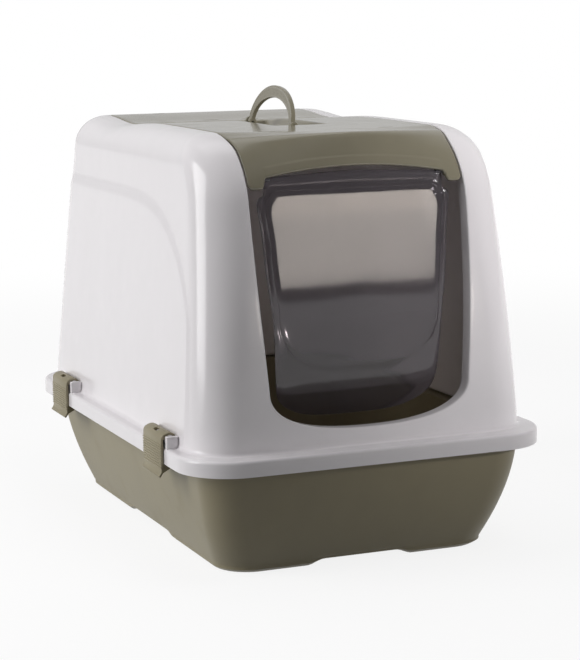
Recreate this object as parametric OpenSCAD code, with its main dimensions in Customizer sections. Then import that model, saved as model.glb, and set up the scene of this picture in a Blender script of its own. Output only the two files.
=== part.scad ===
// Hooded litter box: litter tray, clip-on hood, lift-up front lid with a swing flap and a bail
// handle, and a rear cover over an odour filter.  Millimetres, +Z up.  The origin is on the floor
// under the middle of the box, and the cat door faces -Y.

/* [Overall] */
// Length over the skirt, front to back
length = 560; // [460:1:680]
// Width over the skirt
width = 390; // [325:1:470]
// Height of the top panels above the floor, at the back
height = 432.5; // [358:0.5:520]

/* [Walls] */
// Wall of the hood, the lid and the cover
wall = 2.5; // [1.8:0.1:3.2]
// Wall of the tray
tray_wall = 2.5; // [1.8:0.1:3.5]

/* [Tray] */
// Height of the tray's rim
tray_h = 123; // [100:1:145]
// How far the tray's foot is drawn in from the skirt at each side
taper_x = 51; // [40:1:60]
// How far the tray's foot is drawn in from the skirt at the front and the back
taper_y = 55; // [44:1:64]
// Corner radius of the tray's foot
foot_r = 36; // [26:1:44]
// Height of the feet at the corners
foot_h = 5; // [3:0.5:8]
// Half length of the raised stretch between two feet, along a long side
side_arch = 55; // [30:1:80]
// Half length of the raised stretch between two feet, along the front
front_arch = 40; // [25:1:60]

/* [Hood] */
// Depth of the skirt below the ledge
skirt_h = 16; // [12:1:24]
// Corner radius of the skirt
skirt_r = 56; // [40:1:70]
// Width of the ledge at each side
ledge_side = 14.5; // [13:0.5:20]
// Width of the ledge at the front
ledge_front = 23.6; // [15:0.1:30]
// Width of the ledge at the back
ledge_back = 15; // [13:0.5:24]
// How far each side wall leans in over its height
side_draft = 21; // [8:1:24]
// How far the front wall leans back over its height
front_draft = 43.5; // [20:0.5:56]
// How far the back wall leans in over its height
back_draft = 35.5; // [10:0.5:44]
// Radius of the hood's upright corners
corner_r = 45; // [36:1:60]
// Radius of the shoulders along the top
shoulder_r = 32; // [24:1:36]

/* [Door opening] */
// Height of the opening's lower edge above the ledge
sill_h = 17; // [12:1:40]
// Depth of the rim that turns in round the opening
lip_depth = 15; // [8:1:18]

/* [Top panels] */
// Distance from the middle back to the seam between lid and cover
seam_y = 107.5; // [100:0.5:120]
// Width of the seam
seam_gap = 2; // [1.6:0.1:3]
// Gap between the lid and the hood at each side
side_gap = 1.5; // [1:0.1:2.5]
// Depth of the shallow valley along the seam
valley = 5.5; // [0:0.5:7]
// Height of the lid's front header
header_h = 54; // [44:1:60]

/* [Flap] */
// Thickness of the flap
flap_t = 2; // [1.5:0.1:3]
// Gap between the flap's shoulder and the door's side
flap_side = 12.3; // [11:0.1:18]

/* [Handle] */
// Span of the bail handle over its feet
handle_span = 120; // [90:1:140]
// Rise of the handle above its pivot
handle_rise = 41; // [30:1:48]
// Lean of the handle as it stands
handle_lean = 10; // [0:1:20]

/* [Clips] */
// Length of each side clip
clip_w = 54; // [40:1:64]
// Distance of each clip from the middle, front or back
clip_y = 162; // [120:1:180]

/* [Fits] */
// Radial clearance of every pin in its bore
pin_gap = 0.06; // [0.03:0.01:0.1]
// Radius of the flap's, lid's, cover's and handle's pins
pin_r = 2.5; // [2:0.1:3]

/* [Hidden] */
$fn = 48;

white = [0.93, 0.93, 0.94];
taupe = [0.50, 0.48, 0.41];
smoke = [0.30, 0.30, 0.33, 0.6];
charcoal = [0.12, 0.12, 0.12];

// Heights of the ledge and of the skirt's lower edge
seat_gap = 0.2;
ledge_z = tray_h + seat_gap + wall + 0.5;
skirt_z = ledge_z - skirt_h;
wall_h = height - ledge_z;

// Length along the top over which its height falls, and half width of the seam's valley
top_fall = 2.5;
valley_w = 55;
// The front rounds over into the top across these distances
round_z = 67.5;
round_y = 67;
// The crest of the lid lies this far back from the front wall's line in the middle, runs back by
// crest_bow more at each side, and falls by crest_fall there
crest_y = 6;
crest_bow = 32;
crest_fall = 4.5;

// ---------- Common shapes ----------

// Points of a rounded rectangle, counter-clockwise from the rear right corner, at height z.
// xh is its half width, y0 and y1 its front and back; m more points lie along each long side.
corner_n = 7;
function ring(xh, y0, y1, r, z, m = 0) = concat(
    [for (i = [0:corner_n]) let (a = 90*i/corner_n) [xh - r + r*cos(a), y1 - r + r*sin(a), z]],
    [for (i = [0:corner_n]) let (a = 90 + 90*i/corner_n) [-xh + r + r*cos(a), y1 - r + r*sin(a), z]],
    [for (i = [1:1:m]) [-xh, y1 - r + (y0 + 2*r - y1)*i/(m + 1), z]],
    [for (i = [0:corner_n]) let (a = 180 + 90*i/corner_n) [-xh + r + r*cos(a), y0 + r + r*sin(a), z]],
    [for (i = [0:corner_n]) let (a = 270 + 90*i/corner_n) [xh - r + r*cos(a), y0 + r + r*sin(a), z]],
    [for (i = [1:1:m]) [xh, y0 + r + (y1 - y0 - 2*r)*i/(m + 1), z]]);

function flat2(points) = [for (p = points) [p[0], p[1]]];
function reversed(list) = [for (i = [len(list) - 1:-1:0]) list[i]];
function middle(points) = let (ones = [for (p = points) 1])
    [for (k = [0:2]) [for (p = points) p[k]] * ones/len(points)];

// Closed solid through a list of like rings, each counter-clockwise seen from the far end.
// Fan ends suit rings that aren't flat.
module skin(rings, fan = false) {
    n = len(rings[0]);
    k = len(rings);
    points = concat([for (r = rings) each r], fan ? [middle(rings[0]), middle(rings[k - 1])] : []);
    sides = [for (i = [0:k - 2]) for (j = [0:n - 1]) let (a = i*n + j, b = i*n + (j + 1)%n)
        each [[a, a + n, b + n], [a, b + n, b]]];
    last = (k - 1)*n;
    ends = fan
        ? concat([for (j = [0:n - 1]) [k*n, j, (j + 1)%n]],
            [for (j = [0:n - 1]) [k*n + 1, last + (j + 1)%n, last + j]])
        : [[for (j = [0:n - 1]) j], [for (j = [n - 1:-1:0]) last + j]];
    polyhedron(points = points, faces = concat(sides, ends));
}

// Closed solid between two grids of points.  Rows run across X and follow each other so that
// upper's face, row by row, points outwards.
module slab(upper, lower) {
    n = len(upper[0]);
    k = len(upper);
    m = n*k;
    function at(i, j) = i*n + j;
    faces = [for (i = [0:k - 2]) for (j = [0:n - 2])
        let (a = at(i, j), b = at(i, j + 1), c = at(i + 1, j + 1), d = at(i + 1, j))
        each [[a, c, b], [a, d, c], [a + m, b + m, c + m], [a + m, c + m, d + m]]];
    rows = [for (i = [0:k - 2]) let (a = at(i, 0), d = at(i + 1, 0), b = at(i, n - 1), c = at(i + 1, n - 1))
        each [[a, d + m, d], [a, a + m, d + m], [b, c + m, b + m], [b, c, c + m]]];
    ends = [for (j = [0:n - 2]) let (a = at(0, j), b = at(0, j + 1), d = at(k - 1, j), c = at(k - 1, j + 1))
        each [[a, b + m, a + m], [a, b, b + m], [d, c + m, c], [d, d + m, c + m]]];
    polyhedron(points = concat([for (r = upper) each r], [for (r = lower) each r]),
        faces = concat(faces, rows, ends));
}

// Box between two corners
module box(a, b) {
    translate(a) cube([b[0] - a[0], b[1] - a[1], b[2] - a[2]]);
}

// Cylinder along X from x0 to x1, and along Y from y0 to y1
module rod_x(x0, x1, y, z, r) {
    translate([x0, y, z]) rotate([0, 90, 0]) cylinder(r = r, h = x1 - x0);
}
module rod_y(x, y0, y1, z, r) {
    translate([x, y1, z]) rotate([90, 0, 0]) cylinder(r = r, h = y1 - y0);
}

module both_sides() {
    children();
    mirror([1, 0, 0]) children();
}

// ---------- Form of the hood, shared by the pieces that lie in it ----------

function rise(z) = (z - ledge_z)/wall_h;
function hood_hw(z) = width/2 - ledge_side - side_draft*rise(z);
function hood_back(z) = length/2 - ledge_back - back_draft*rise(z);
function wall_front(z) = -(length/2 - ledge_front) + front_draft*(0.2*rise(z) + 0.8*pow(rise(z), 2));

// The top falls a little to the front and dips along the seam
function top_dip(y) = -top_fall*(length/2 - y)/length - valley*exp(-pow((y - seam_y)/valley_w, 2));
function top_z(y) = height + top_dip(y);

// Front of the hood: the wall's line, drawn back towards the top by a quarter of an ellipse
bend_z = height - round_z;
function bend(z) = 1 - sqrt(max(0, 1 - pow(max(0, z - bend_z)/round_z, 2)));
function hood_front(z) = wall_front(z) + round_y*bend(z);

// One level of the hood.  turn is the shoulder's angle, 0 on the walls and 90 on the top.
side_points = 9;
function hood_level(z, turn, inset, within = 0) =
    let (s = shoulder_r*(1 - cos(turn)), c = inset*cos(turn) + within, r = max(18, corner_r - s) - c/2,
        lift = pow(sin(turn), 2),
        flat = ring(hood_hw(z) - s - c, hood_front(z) + c, hood_back(z) - s - c, r,
            z - inset*sin(turn), side_points))
    [for (p = flat) [p[0], p[1], p[2] + lift*top_dip(p[1])]];

wall_top_z = height - shoulder_r;
wall_levels = 6;
bend_levels = 4;
wall_z = concat(
    [for (i = [0:wall_levels]) ledge_z + 2 + (bend_z - ledge_z - 2)*i/wall_levels],
    [for (i = [1:bend_levels]) bend_z + (wall_top_z - bend_z)*i/bend_levels]);
turns = [15, 30, 45, 60, 75, 90];
function shoulder_z(turn) = wall_top_z + shoulder_r*sin(turn);
function hood_rings(inset) = concat(
    [for (z = wall_z) hood_level(z, 0, inset)],
    [for (t = turns) hood_level(shoulder_z(t), t, inset)]);

// A ring of the skirt or the ledge, drawn in by inset from the skirt's outside
function skirt_ring(inset, z) = ring(width/2 - inset, -length/2 + inset, length/2 - inset,
    skirt_r - inset, z, side_points);
function ledge_ring(out, z) = ring(width/2 - ledge_side + out, -(length/2 - ledge_front) - out,
    length/2 - ledge_back + out, corner_r + out, z, side_points);

// Openings in the hood: over the top, and down the front
top_hw = hood_hw(height) - shoulder_r - 8;
top_back = hood_back(height) - shoulder_r + 4.6;
door_top_hw = top_hw - 3;
door_hw = top_hw - 12;
sill_z = ledge_z + sill_h;
door_round_h = 42;
door_bow_h = 176;
// Over this height below the top the door widens to the opening there
flare_h = 17;
function door_side(z) = let (s = min(1, max(0, (z - sill_z - door_round_h)/door_bow_h)))
    door_hw + (door_top_hw - door_hw)*(1 - pow(1 - s, 1.6));
// Lower edge of the door as a superellipse
door_power = 2.4;
function door_low(a) = let (c = pow(abs(cos(a)), 2/door_power), s = pow(abs(sin(a)), 2/door_power))
    [door_hw*c*sign(cos(a)), sill_z + door_round_h*(1 - s)];
door_low_points = [for (a = [180:9:360]) door_low(a)];
function door_level(top, i) = sill_z + door_round_h + (top - sill_z - door_round_h)*i/6;
function door_edge(top) = concat(
    [for (i = [6:-1:1]) let (z = door_level(top, i)) [-door_side(z), z]],
    door_low_points,
    [for (i = [1:6]) let (z = door_level(top, i)) [door_side(z), z]]);

// Hinge lines: [y, z]
lid_pivot = [seam_y - seam_gap/2 - 12.5, top_z(seam_y) - 6.4];
cover_back = top_back - 3.2;
cover_pivot = [cover_back - 4.5, top_z(cover_back) - 5.5];
handle_z = top_z(0) - 3;
tab_z = height - header_h;
flap_pivot = [hood_front(tab_z + 10) + 5.7, tab_z + 9.5];

// Shelf in the hood's top opening that carries the lid, the grate and the cover
shelf_drop = 5.4;
shelf_in = 8.5;
rear_shelf_z = top_z(seam_y) - shelf_drop;
function shelf_z(y) = y > seam_y - 1 ? rear_shelf_z : top_z(y) - shelf_drop;
boss_r = pin_r + 2.5;
lug_t = 3.2;

// Side clips turn on a bead above the ledge
bead_r = 4;
bead_x = width/2 - 6.5;
bead_z = ledge_z + 8.6;
block_len = 6.5;

// ---------- Pieces ----------

// Depth by which the tray's wall is drawn in at height z, from the rim's inset to the taper
foot_step = 5;
rim_inset = 20.5;
wall_power = 1.8;
function tray_inset(z, taper) = z < 10
    ? taper - foot_step*z/10
    : rim_inset + (taper - foot_step - rim_inset)*pow(1 - (z - 10)/(tray_h - 14), wall_power);
function tray_ring(z, d = 0) = let (x = tray_inset(z, taper_x) + d, y = tray_inset(z, taper_y) + d)
    ring(width/2 - x, -length/2 + y, length/2 - y, foot_r - d, z);
function rim_ring(inset, z) = ring(width/2 - inset, -length/2 + inset, length/2 - inset, skirt_r - inset, z);

tray_z = concat([0, 6, 10], [for (i = [1:8]) 10 + (tray_h - 14)*i/8]);
floor_z = foot_h + tray_wall;
skirt_in = wall + 1;

module tray() color(taupe) {
    upper = tray_h - tray_wall;
    difference() {
        skin(concat(
            [for (z = tray_z) tray_ring(z)],
            [rim_ring(rim_inset, upper), rim_ring(skirt_in + tray_wall, upper),
                rim_ring(skirt_in + tray_wall, skirt_z + 0.6), rim_ring(skirt_in, skirt_z + 0.6),
                rim_ring(skirt_in, tray_h - 1.5), rim_ring(skirt_in + 1.5, tray_h),
                rim_ring(rim_inset + tray_wall - 0.4, tray_h)],
            [for (i = [len(tray_z) - 1:-1:2]) tray_ring(tray_z[i], tray_wall)],
            [tray_ring(floor_z, tray_wall + 2)]));
        tray_recess();
        foot_gap(side_arch, 90);
        foot_gap(front_arch, 0);
    }
}

// Hollow under the floor, and the arches that part the four feet
module tray_recess() {
    edge = 9;
    x = width/2 - taper_x - edge;
    y = length/2 - taper_y - edge;
    translate([0, 0, -1]) linear_extrude(foot_h + 1) polygon(flat2(ring(x, -y, y, foot_r - edge, 0)));
}
module foot_gap(half, turn) {
    slope = 18;
    reach = length;
    rotate([0, 0, turn]) translate([0, reach/2, 0]) rotate([90, 0, 0]) linear_extrude(reach)
        polygon([[-half - slope, -1], [-half - slope, 0], [-half, foot_h], [half, foot_h], [half + slope, 0],
            [half + slope, -1]]);
}

module hood() color(white) {
    difference() {
        union() {
            hood_shell();
            both_sides() shelf_side();
            shelf_back();
            bridge();
            both_sides() hinge_boss(lid_pivot);
            both_sides() hinge_boss(cover_pivot);
            door_lip();
            for (y = [-clip_y, clip_y]) both_sides() clip_block(y);
        }
        both_sides() hinge_bore(lid_pivot);
        both_sides() hinge_bore(cover_pivot);
        both_sides() shelf_notch();
    }
}

module hood_shell() {
    cap = 12;
    difference() {
        skin(concat(
            [hood_level(height, 90, wall, cap)],
            reversed(hood_rings(wall)),
            [ledge_ring(-wall + 0.4, ledge_z - wall), skirt_ring(wall + 1.2, ledge_z - wall),
                skirt_ring(wall, ledge_z - wall - 1.2), skirt_ring(wall, skirt_z),
                skirt_ring(0, skirt_z), skirt_ring(0, ledge_z - 3.2), skirt_ring(1, ledge_z - 1),
                skirt_ring(3.2, ledge_z), ledge_ring(1.6, ledge_z)],
            hood_rings(0),
            [hood_level(height, 90, 0, cap)]), fan = true);
        top_cut();
        door_cut();
    }
}
cut_y = hood_front(height) - 6;
module top_cut() {
    x = top_hw;
    r = 3;
    y = top_back - r;
    translate([0, 0, height - 30]) linear_extrude(60) polygon(concat(
        [[x, cut_y - 1]],
        [for (a = [0:15:90]) [x - r + r*cos(a), y + r*sin(a)]],
        [for (a = [90:15:180]) [-x + r + r*cos(a), y + r*sin(a)]],
        [[-x, cut_y - 1]]));
}
module door_cut() {
    translate([0, cut_y, 0]) rotate([90, 0, 0]) linear_extrude(length/2)
        polygon(concat([[-top_hw, height + 40], [-top_hw, height]], door_edge(height - flare_h),
            [[top_hw, height], [top_hw, height + 40]]));
}

// Rim that turns in round the door
lip_top = height - header_h - 4;
module door_lip() {
    edge = door_edge(lip_top);
    n = len(edge) - 1;
    t = wall - 0.3;
    out = [for (i = [0:n]) let (a = edge[max(0, i - 1)], b = edge[min(n, i + 1)], d = b - a)
        edge[i] + t*[d[1], -d[0]]/norm(d)];
    skin([for (i = [0:n]) let (p = edge[i], q = out[i])
        [[p[0], hood_front(p[1]) + 0.9, p[1]], [q[0], hood_front(q[1]) + 0.9, q[1]],
            [q[0], hood_front(q[1]) + lip_depth, q[1]], [p[0], hood_front(p[1]) + lip_depth, p[1]]]]);
}

// Shelf along each side of the top opening, and the wall that carries it
module shelf_side() {
    y0 = hood_front(height) + 4;
    steps = 14;
    x1 = top_hw + wall;
    skin([for (i = [0:steps]) let (y = y0 + (top_back + 1 - y0)*i/steps, s = shelf_z(y))
        [[x1, y, s], [x1, y, s - wall], [top_hw - shelf_in, y, s - wall], [top_hw - shelf_in, y, s]]]);
    skin([for (i = [0:steps])
        let (y = y0 + 0.5 + (top_back + 1 - y0)*i/steps, s = shelf_z(y) - 1, t = top_z(y) - 0.8)
        [[x1 - 0.3, y, t], [x1 - 0.3, y, s], [top_hw, y, s], [top_hw, y, t]]]);
}
module shelf_back() {
    x = top_hw + wall;
    box([-x, top_back, rear_shelf_z - wall], [x, top_back + wall, top_z(top_back) - 0.6]);
    box([-x, top_back - 6, rear_shelf_z - wall], [x, top_back + wall, rear_shelf_z]);
}
// Cross bar under the front edge of the filter cover
module bridge() {
    x = top_hw + wall;
    y = seam_y + seam_gap/2 + 0.5;
    box([-x, y, rear_shelf_z - 6], [x, y + 4, top_z(seam_y) - wall - 0.4]);
    box([-x, y, rear_shelf_z - wall], [x, y + 9, rear_shelf_z]);
}
module hinge_boss(pivot) {
    rod_x(top_hw, top_hw + 7.5, pivot[0], pivot[1], boss_r);
    box([top_hw, pivot[0] - boss_r, pivot[1]], [top_hw + 7.5, pivot[0] + boss_r, top_z(pivot[0]) - 1]);
}
module hinge_bore(pivot) {
    rod_x(top_hw - 1, top_hw + 6.5, pivot[0], pivot[1], pin_r + pin_gap);
}
// Room in the shelf for the lid's hinge lugs
module shelf_notch() {
    box([top_hw - shelf_in - 1, lid_pivot[0] - boss_r - 5, lid_pivot[1] - 12],
        [top_hw, seam_y + seam_gap/2 + 0.4, shelf_z(lid_pivot[0] - boss_r) + 1]);
}

// Two blocks on the ledge and the bead between them that a side clip turns on
module clip_block(y) {
    gap = 0.5;
    near = clip_w/2 + gap;
    x0 = bead_x - 6.5;
    x1 = width/2 - 1;
    z1 = bead_z + 3.4;
    box([x0, y - near - block_len, ledge_z - 1], [x1, y - near, z1]);
    box([x0, y + near, ledge_z - 1], [x1, y + near + block_len, z1]);
    rod_y(bead_x, y - near - 1, y + near + 1, bead_z, bead_r);
}

// Profile of the lid at x: along the top from the seam to the crest and down the header
lid_hw = top_hw - side_gap;
function to_side(x) = pow(abs(x)/lid_hw, 1.6);
function crest(x) = wall_front(height) + crest_y + crest_bow*to_side(x);
function crest_z(x) = top_z(crest(x)) - crest_fall*to_side(x);
lid_back = seam_y - seam_gap/2;
// Shallow dish round the handle
dish_hw = 24;
dish_hl = 76;
dish_depth = 7.5;
function ease(t) = let (s = min(1, max(0, t))) s*s*(3 - 2*s);
function dish(x, y) = dish_depth*ease((dish_hw + 6 - abs(x))/6)*ease((dish_hl + 8 - abs(y))/8);
front_rows = 5;
function lid_rows(c) = concat([lid_back, lid_back - 10], [dish_hl + 8, dish_hl + 4, dish_hl, 40, 0, -40,
    -dish_hl, -dish_hl - 4, -dish_hl - 8],
    [for (i = [1:front_rows - 1]) -dish_hl - 8 + (c + dish_hl + 8)*i/front_rows]);
// Near the crest the top bends down over this length
nose = 30;
// The header follows the hood's front, bent by as much as brings it to the crest
function header_bend(x) = (crest(x) - wall_front(crest_z(x)))/bend(crest_z(x));
function header_y(x, z) = wall_front(z) + header_bend(x)*bend(z);
function header_lean(x, z) = atan(header_y(x, z + 0.5) - header_y(x, z - 0.5));
// The header is narrower than the top panel by header_in at each side
header_in = 3;
function lid_point(x, y, z, near = 1) =
    [x*(1 - header_in/lid_hw*near*ease((height - z)/flare_h)), y, z];
header_rows = [0.03, 0.08, 0.15, 0.25, 0.4, 0.6, 0.8, 1];
function lid_line(x, d) = let (c = crest(x), zc = crest_z(x), a = header_lean(x, zc))
    concat(
        [for (y = lid_rows(c)) let (near = ease((c + nose - y)/nose))
            lid_point(x, y, top_z(y) - dish(x, y) - crest_fall*to_side(x)*near - d, near)],
        [lid_point(x, c + d*(1 - sin(a))/cos(a), zc - d)],
        [for (t = header_rows) let (z = zc - (zc - tab_z)*t, b = header_lean(x, z)*(1 - t*t))
            lid_point(x, header_y(x, z) + d*cos(b), z - d*sin(b))]);
lid_columns = [1, 0.84, 0.68, 0.5, 0.34];
function lid_x() = concat(
    [for (c = lid_columns) -c*lid_hw],
    [-dish_hw - 6, -dish_hw - 3, -dish_hw, 0, dish_hw, dish_hw + 3, dish_hw + 6],
    [for (c = reversed(lid_columns)) c*lid_hw]);

// Lower edge of the header: an arc between two tabs
tab_w = 17;
arc_mid = tab_z + 20;
arc_side = tab_z + 11;
module header_arc() {
    hw = lid_hw - header_in - tab_w;
    translate([0, wall_front(height) + 30, 0]) rotate([90, 0, 0]) linear_extrude(length/4)
        polygon(concat([[hw, tab_z - 10]],
            [for (i = [0:16]) let (s = 1 - i/8) [hw*s, arc_mid - (arc_mid - arc_side)*s*s]],
            [[-hw, tab_z - 10]]));
}
slot_len = 17;
slot_w = 3;
slot_x = 59.5;
ear_t = 4.5;
module front_lid() color(taupe) {
    difference() {
        union() {
            difference() {
                slab([for (x = lid_x()) lid_line(x, 0)], [for (x = lid_x()) lid_line(x, wall)]);
                header_arc();
                both_sides() translate([slot_x, crest(slot_x) + 34, height - 12]) slot(slot_len, 24);
            }
            both_sides() lid_skirt();
            both_sides() hinge_lug(lid_pivot);
            both_sides() flap_boss();
            for (s = [0, 1]) mirror([0, s, 0]) handle_ear();
        }
        both_sides() rod_x(flap_hw - 12, flap_hw + 6.5, flap_pivot[0], flap_pivot[1], pin_r + pin_gap);
        for (s = [0, 1]) mirror([0, s, 0]) rod_y(0, ear_y - 1, ear_y + ear_t + 1, handle_z, pin_r + pin_gap);
    }
    both_sides() hinge_pin(lid_pivot);
}
// Round-ended slot along X
module slot(l, h, w = slot_w) {
    translate([-l/2 + w/2, -w/2, 0]) cube([l - w, w, h]);
    for (s = [-1, 1]) translate([s*(l - w)/2, 0, 0]) cylinder(d = w, h = h);
}
// Turned-down edge that rests on the hood's shelf
module lid_skirt() {
    y1 = lid_pivot[0] - boss_r - 6;
    y0 = hood_front(height) + 6;
    steps = 8;
    skin([for (i = [0:steps]) let (y = y0 + (y1 - y0)*i/steps, t = top_z(y) - wall/2, s = shelf_z(y) + 0.4)
        [[lid_hw, y, t], [lid_hw, y, s], [lid_hw - wall, y, s], [lid_hw - wall, y, t]]]);
}
// Lug under a panel's corner, and its pin into the hood's boss
module hinge_lug(pivot) {
    x1 = top_hw - 0.6;
    x0 = x1 - lug_t;
    rod_x(x0, x1, pivot[0], pivot[1], boss_r - 0.6);
    box([x0, pivot[0] - boss_r + 0.6, pivot[1]],
        [x1 - side_gap, pivot[0] + boss_r - 0.6, top_z(pivot[0]) - 1]);
}
module hinge_pin(pivot) {
    rod_x(top_hw - 1.4, top_hw + 6, pivot[0], pivot[1], pin_r);
}
// Boss behind each tab that takes the flap's pin
module flap_boss() {
    x0 = lid_hw - header_in - tab_w + 1.5;
    x1 = x0 + 6.5;
    y = flap_pivot[0];
    z = flap_pivot[1];
    r = pin_r + 2.2;
    front = [for (side = [-r, r]) [header_y(x1, z + side) + wall - 1, z + side]];
    rod_x(x0, x1, y, z, r);
    // Its front follows the header's lean
    translate([x0, 0, 0]) rotate([90, 0, 90]) linear_extrude(x1 - x0)
        polygon([front[0], [y, z - r], [y, z + r], front[1]]);
}
ear_y = handle_span/2 + 0.6;
ear_r = pin_r + 2.2;
module handle_ear() {
    rod_y(0, ear_y, ear_y + ear_t, handle_z, ear_r);
    box([-ear_r, ear_y, top_z(ear_y + ear_t) - dish_depth - wall/2], [ear_r, ear_y + ear_t, handle_z]);
}

// Rear cover
module filter_cover() color(taupe) {
    y0 = seam_y + seam_gap/2;
    steps = 8;
    difference() {
        union() {
            skin([for (i = [0:steps]) let (y = y0 + (cover_back - y0)*i/steps, t = top_z(y))
                [[lid_hw, y, t], [lid_hw, y, t - wall], [-lid_hw, y, t - wall], [-lid_hw, y, t]]]);
            both_sides() hinge_lug(cover_pivot);
        }
        both_sides() {
            translate([24, y0 + 13, height - 20]) slot(20, 30);
            translate([61, cover_back - 6, height - 20]) slot(14, 30);
        }
    }
    both_sides() hinge_pin(cover_pivot);
}

// Basket that carries the filter pad
grate_wall = 1.8;
basket_h = 15;
grate_y0 = seam_y + seam_gap/2 + 4.8;
grate_y1 = top_back - 0.6;
basket_y0 = seam_y + seam_gap/2 + 10.5;
basket_y1 = top_back - 9;
flange_hw = top_hw - 6;
basket_hw = top_hw - shelf_in - 6.5;
basket_z = rear_shelf_z - basket_h;
module filter_grate() color(white) {
    slots = 11;
    pitch = 2*(basket_hw - 8)/slots;
    flange_z = rear_shelf_z + 0.1;
    middle_y = (basket_y0 + basket_y1)/2;
    difference() {
        union() {
            box([-flange_hw, grate_y0, flange_z], [flange_hw, grate_y1, flange_z + grate_wall]);
            box([-basket_hw, basket_y0, basket_z], [basket_hw, basket_y1, rear_shelf_z + 1]);
        }
        box([-basket_hw + grate_wall, basket_y0 + grate_wall, basket_z + grate_wall],
            [basket_hw - grate_wall, basket_y1 - grate_wall, height]);
        for (i = [0:slots - 1]) translate([-basket_hw + 8 + pitch*(i + 0.5), middle_y, basket_z - 1])
            rotate([0, 0, 90]) slot(basket_y1 - basket_y0 - 16, 6, 8);
    }
}

module charcoal_filter() color(charcoal) {
    gap = 0.8;
    d = grate_wall + gap;
    translate([0, 0, basket_z + grate_wall + 0.1]) linear_extrude(basket_h - grate_wall - 2)
        polygon(flat2(ring(basket_hw - d, basket_y0 + d, basket_y1 - d, 4, 0)));
}

// Smoked flap: a bowed sheet that hangs on two pins
flap_hw = door_top_hw - flap_side;
flap_bottom = sill_z + 3.8;
neck_hw = lid_hw - header_in - tab_w - 1.5;
neck_z = tab_z - 6;
flap_front = flap_pivot[0] - 2;
// From the bottom up to the shoulders: share of the drop from the pins, share of the half width,
// and how far the sheet stands in front of its top
flap_rows = [[1, 0.24, -12.5], [0.994, 0.43, -11.6], [0.983, 0.54, -10], [0.967, 0.634, -7.5],
    [0.946, 0.72, -4.7], [0.917, 0.797, -1], [0.876, 0.835, 3], [0.822, 0.849, 6.3],
    [0.747, 0.861, 8.3], [0.618, 0.873, 11], [0.535, 0.892, 11], [0.494, 0.908, 10.5],
    [0.411, 0.931, 8.5], [0.328, 0.947, 6.3], [0.245, 0.958, 4.3], [0.183, 0.974, 3.3],
    [0.12, 0.994, 3], [0.095, 1, 2.2], [0.083, 0.993, 1.7]];
// Above the pins the crown is an arch: height over the neck, share of the half width
crown = [[0, 1], [1.5, 0.992], [2.6, 0.953], [3.8, 0.725], [5, 0.466], [6.5, 0.12]];
function flap_level(x, y, z) = [[-x, y, z], [x, y, z], [x, y + flap_t, z], [-x, y + flap_t, z]];
module flap() color(smoke) {
    drop = flap_pivot[1] - flap_bottom;
    skin(concat(
        [for (r = flap_rows) flap_level(r[1]*flap_hw, flap_front - r[2], flap_pivot[1] - r[0]*drop)],
        [flap_level(neck_hw + 2, flap_front - 1.3, neck_z - 1),
            flap_level(neck_hw, flap_front - 1.2, neck_z)],
        [for (r = crown) flap_level(r[1]*neck_hw, flap_front, flap_pivot[1] - 1 + r[0])]));
    both_sides() rod_x(neck_hw - 7, neck_hw + 7.4, flap_pivot[0], flap_pivot[1], pin_r);
}

// Bail handle: a flat half-ellipse band that thickens at its crown, with a pin at each foot
handle_t = 5;
leg_w = 8;
crown_w = 13;
function bail(a, b) = [for (i = [0:20]) let (t = 9*i) [a*cos(t), b*sin(t)]];
module handle() color(taupe) {
    span = handle_span/2;
    foot = 3.8;
    translate([0, 0, handle_z]) rotate([0, handle_lean, 0]) {
        rotate([90, 0, 90]) translate([0, 0, -handle_t/2]) linear_extrude(handle_t) difference() {
            polygon(concat([[span, -2]], bail(span, handle_rise), [[-span, -2]]));
            polygon(concat([[span - leg_w, -10]], bail(span - leg_w, handle_rise - crown_w),
                [[-span + leg_w, -10]]));
        }
        for (s = [-1, 1]) mirror([0, s < 0 ? 1 : 0, 0]) {
            rod_y(0, span - leg_w, span, 0, foot);
            rod_y(0, span - 2, ear_y + ear_t, 0, pin_r);
        }
    }
}

// Side clip for the +X side: curls over the bead, hangs outside the skirt and hooks under the rim
clip_gap = 0.4;
clip_t = 2.4;
rib_n = 10;
rib_pitch = 2.5;
hook_in = 7.5;
sight_len = 12;
sight_w = 4;
module clip(y) color(taupe) {
    bore = bead_r + 0.08;
    curl = bore + clip_t;
    x1 = width/2 + clip_gap;
    x2 = x1 + clip_t;
    lip_z = skirt_z - 13.5;
    hook_z = skirt_z - 1.2;
    rib_top = bead_z - 5;
    ribs = [for (i = [0:rib_n - 1]) let (z = rib_top - i*rib_pitch)
        each [[x2, z], [x2 + 0.7, z - 0.6], [x2 + 0.7, z - 1.3], [x2, z - 1.9]]];
    translate([0, y + clip_w/2, 0]) rotate([90, 0, 0]) difference() {
        linear_extrude(clip_w) difference() {
            polygon(concat(
                [[bead_x, bead_z]],
                [for (a = [220:-13:90]) [bead_x + curl*cos(a), bead_z + curl*sin(a)]],
                [for (a = [78:-13:0]) [bead_x + (x2 - bead_x)*cos(a), bead_z + curl*sin(a)]],
                ribs,
                [[x2, lip_z + 7], [x2 + 2.6, lip_z + 2], [x2 + 1.4, lip_z], [x1 + 0.4, lip_z + 4.5],
                    [x1 - hook_in, hook_z - 3.5], [x1 - hook_in, hook_z], [x1, hook_z], [x1, bead_z]]));
            translate([bead_x, bead_z]) circle(r = bore);
        }
        // Sight slot in the curl
        translate([bead_x, bead_z, clip_w/2]) rotate([0, 0, 52]) rotate([0, 90, 0])
            slot(sight_len, 3*curl, sight_w);
    }
}
module clip_front_left() mirror([1, 0, 0]) clip(-clip_y);
module clip_front_right() clip(-clip_y);
module clip_rear_left() mirror([1, 0, 0]) clip(clip_y);
module clip_rear_right() clip(clip_y);

tray();
hood();
front_lid();
filter_cover();
filter_grate();
charcoal_filter();
flap();
handle();
clip_front_left();
clip_front_right();
clip_rear_left();
clip_rear_right();
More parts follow.
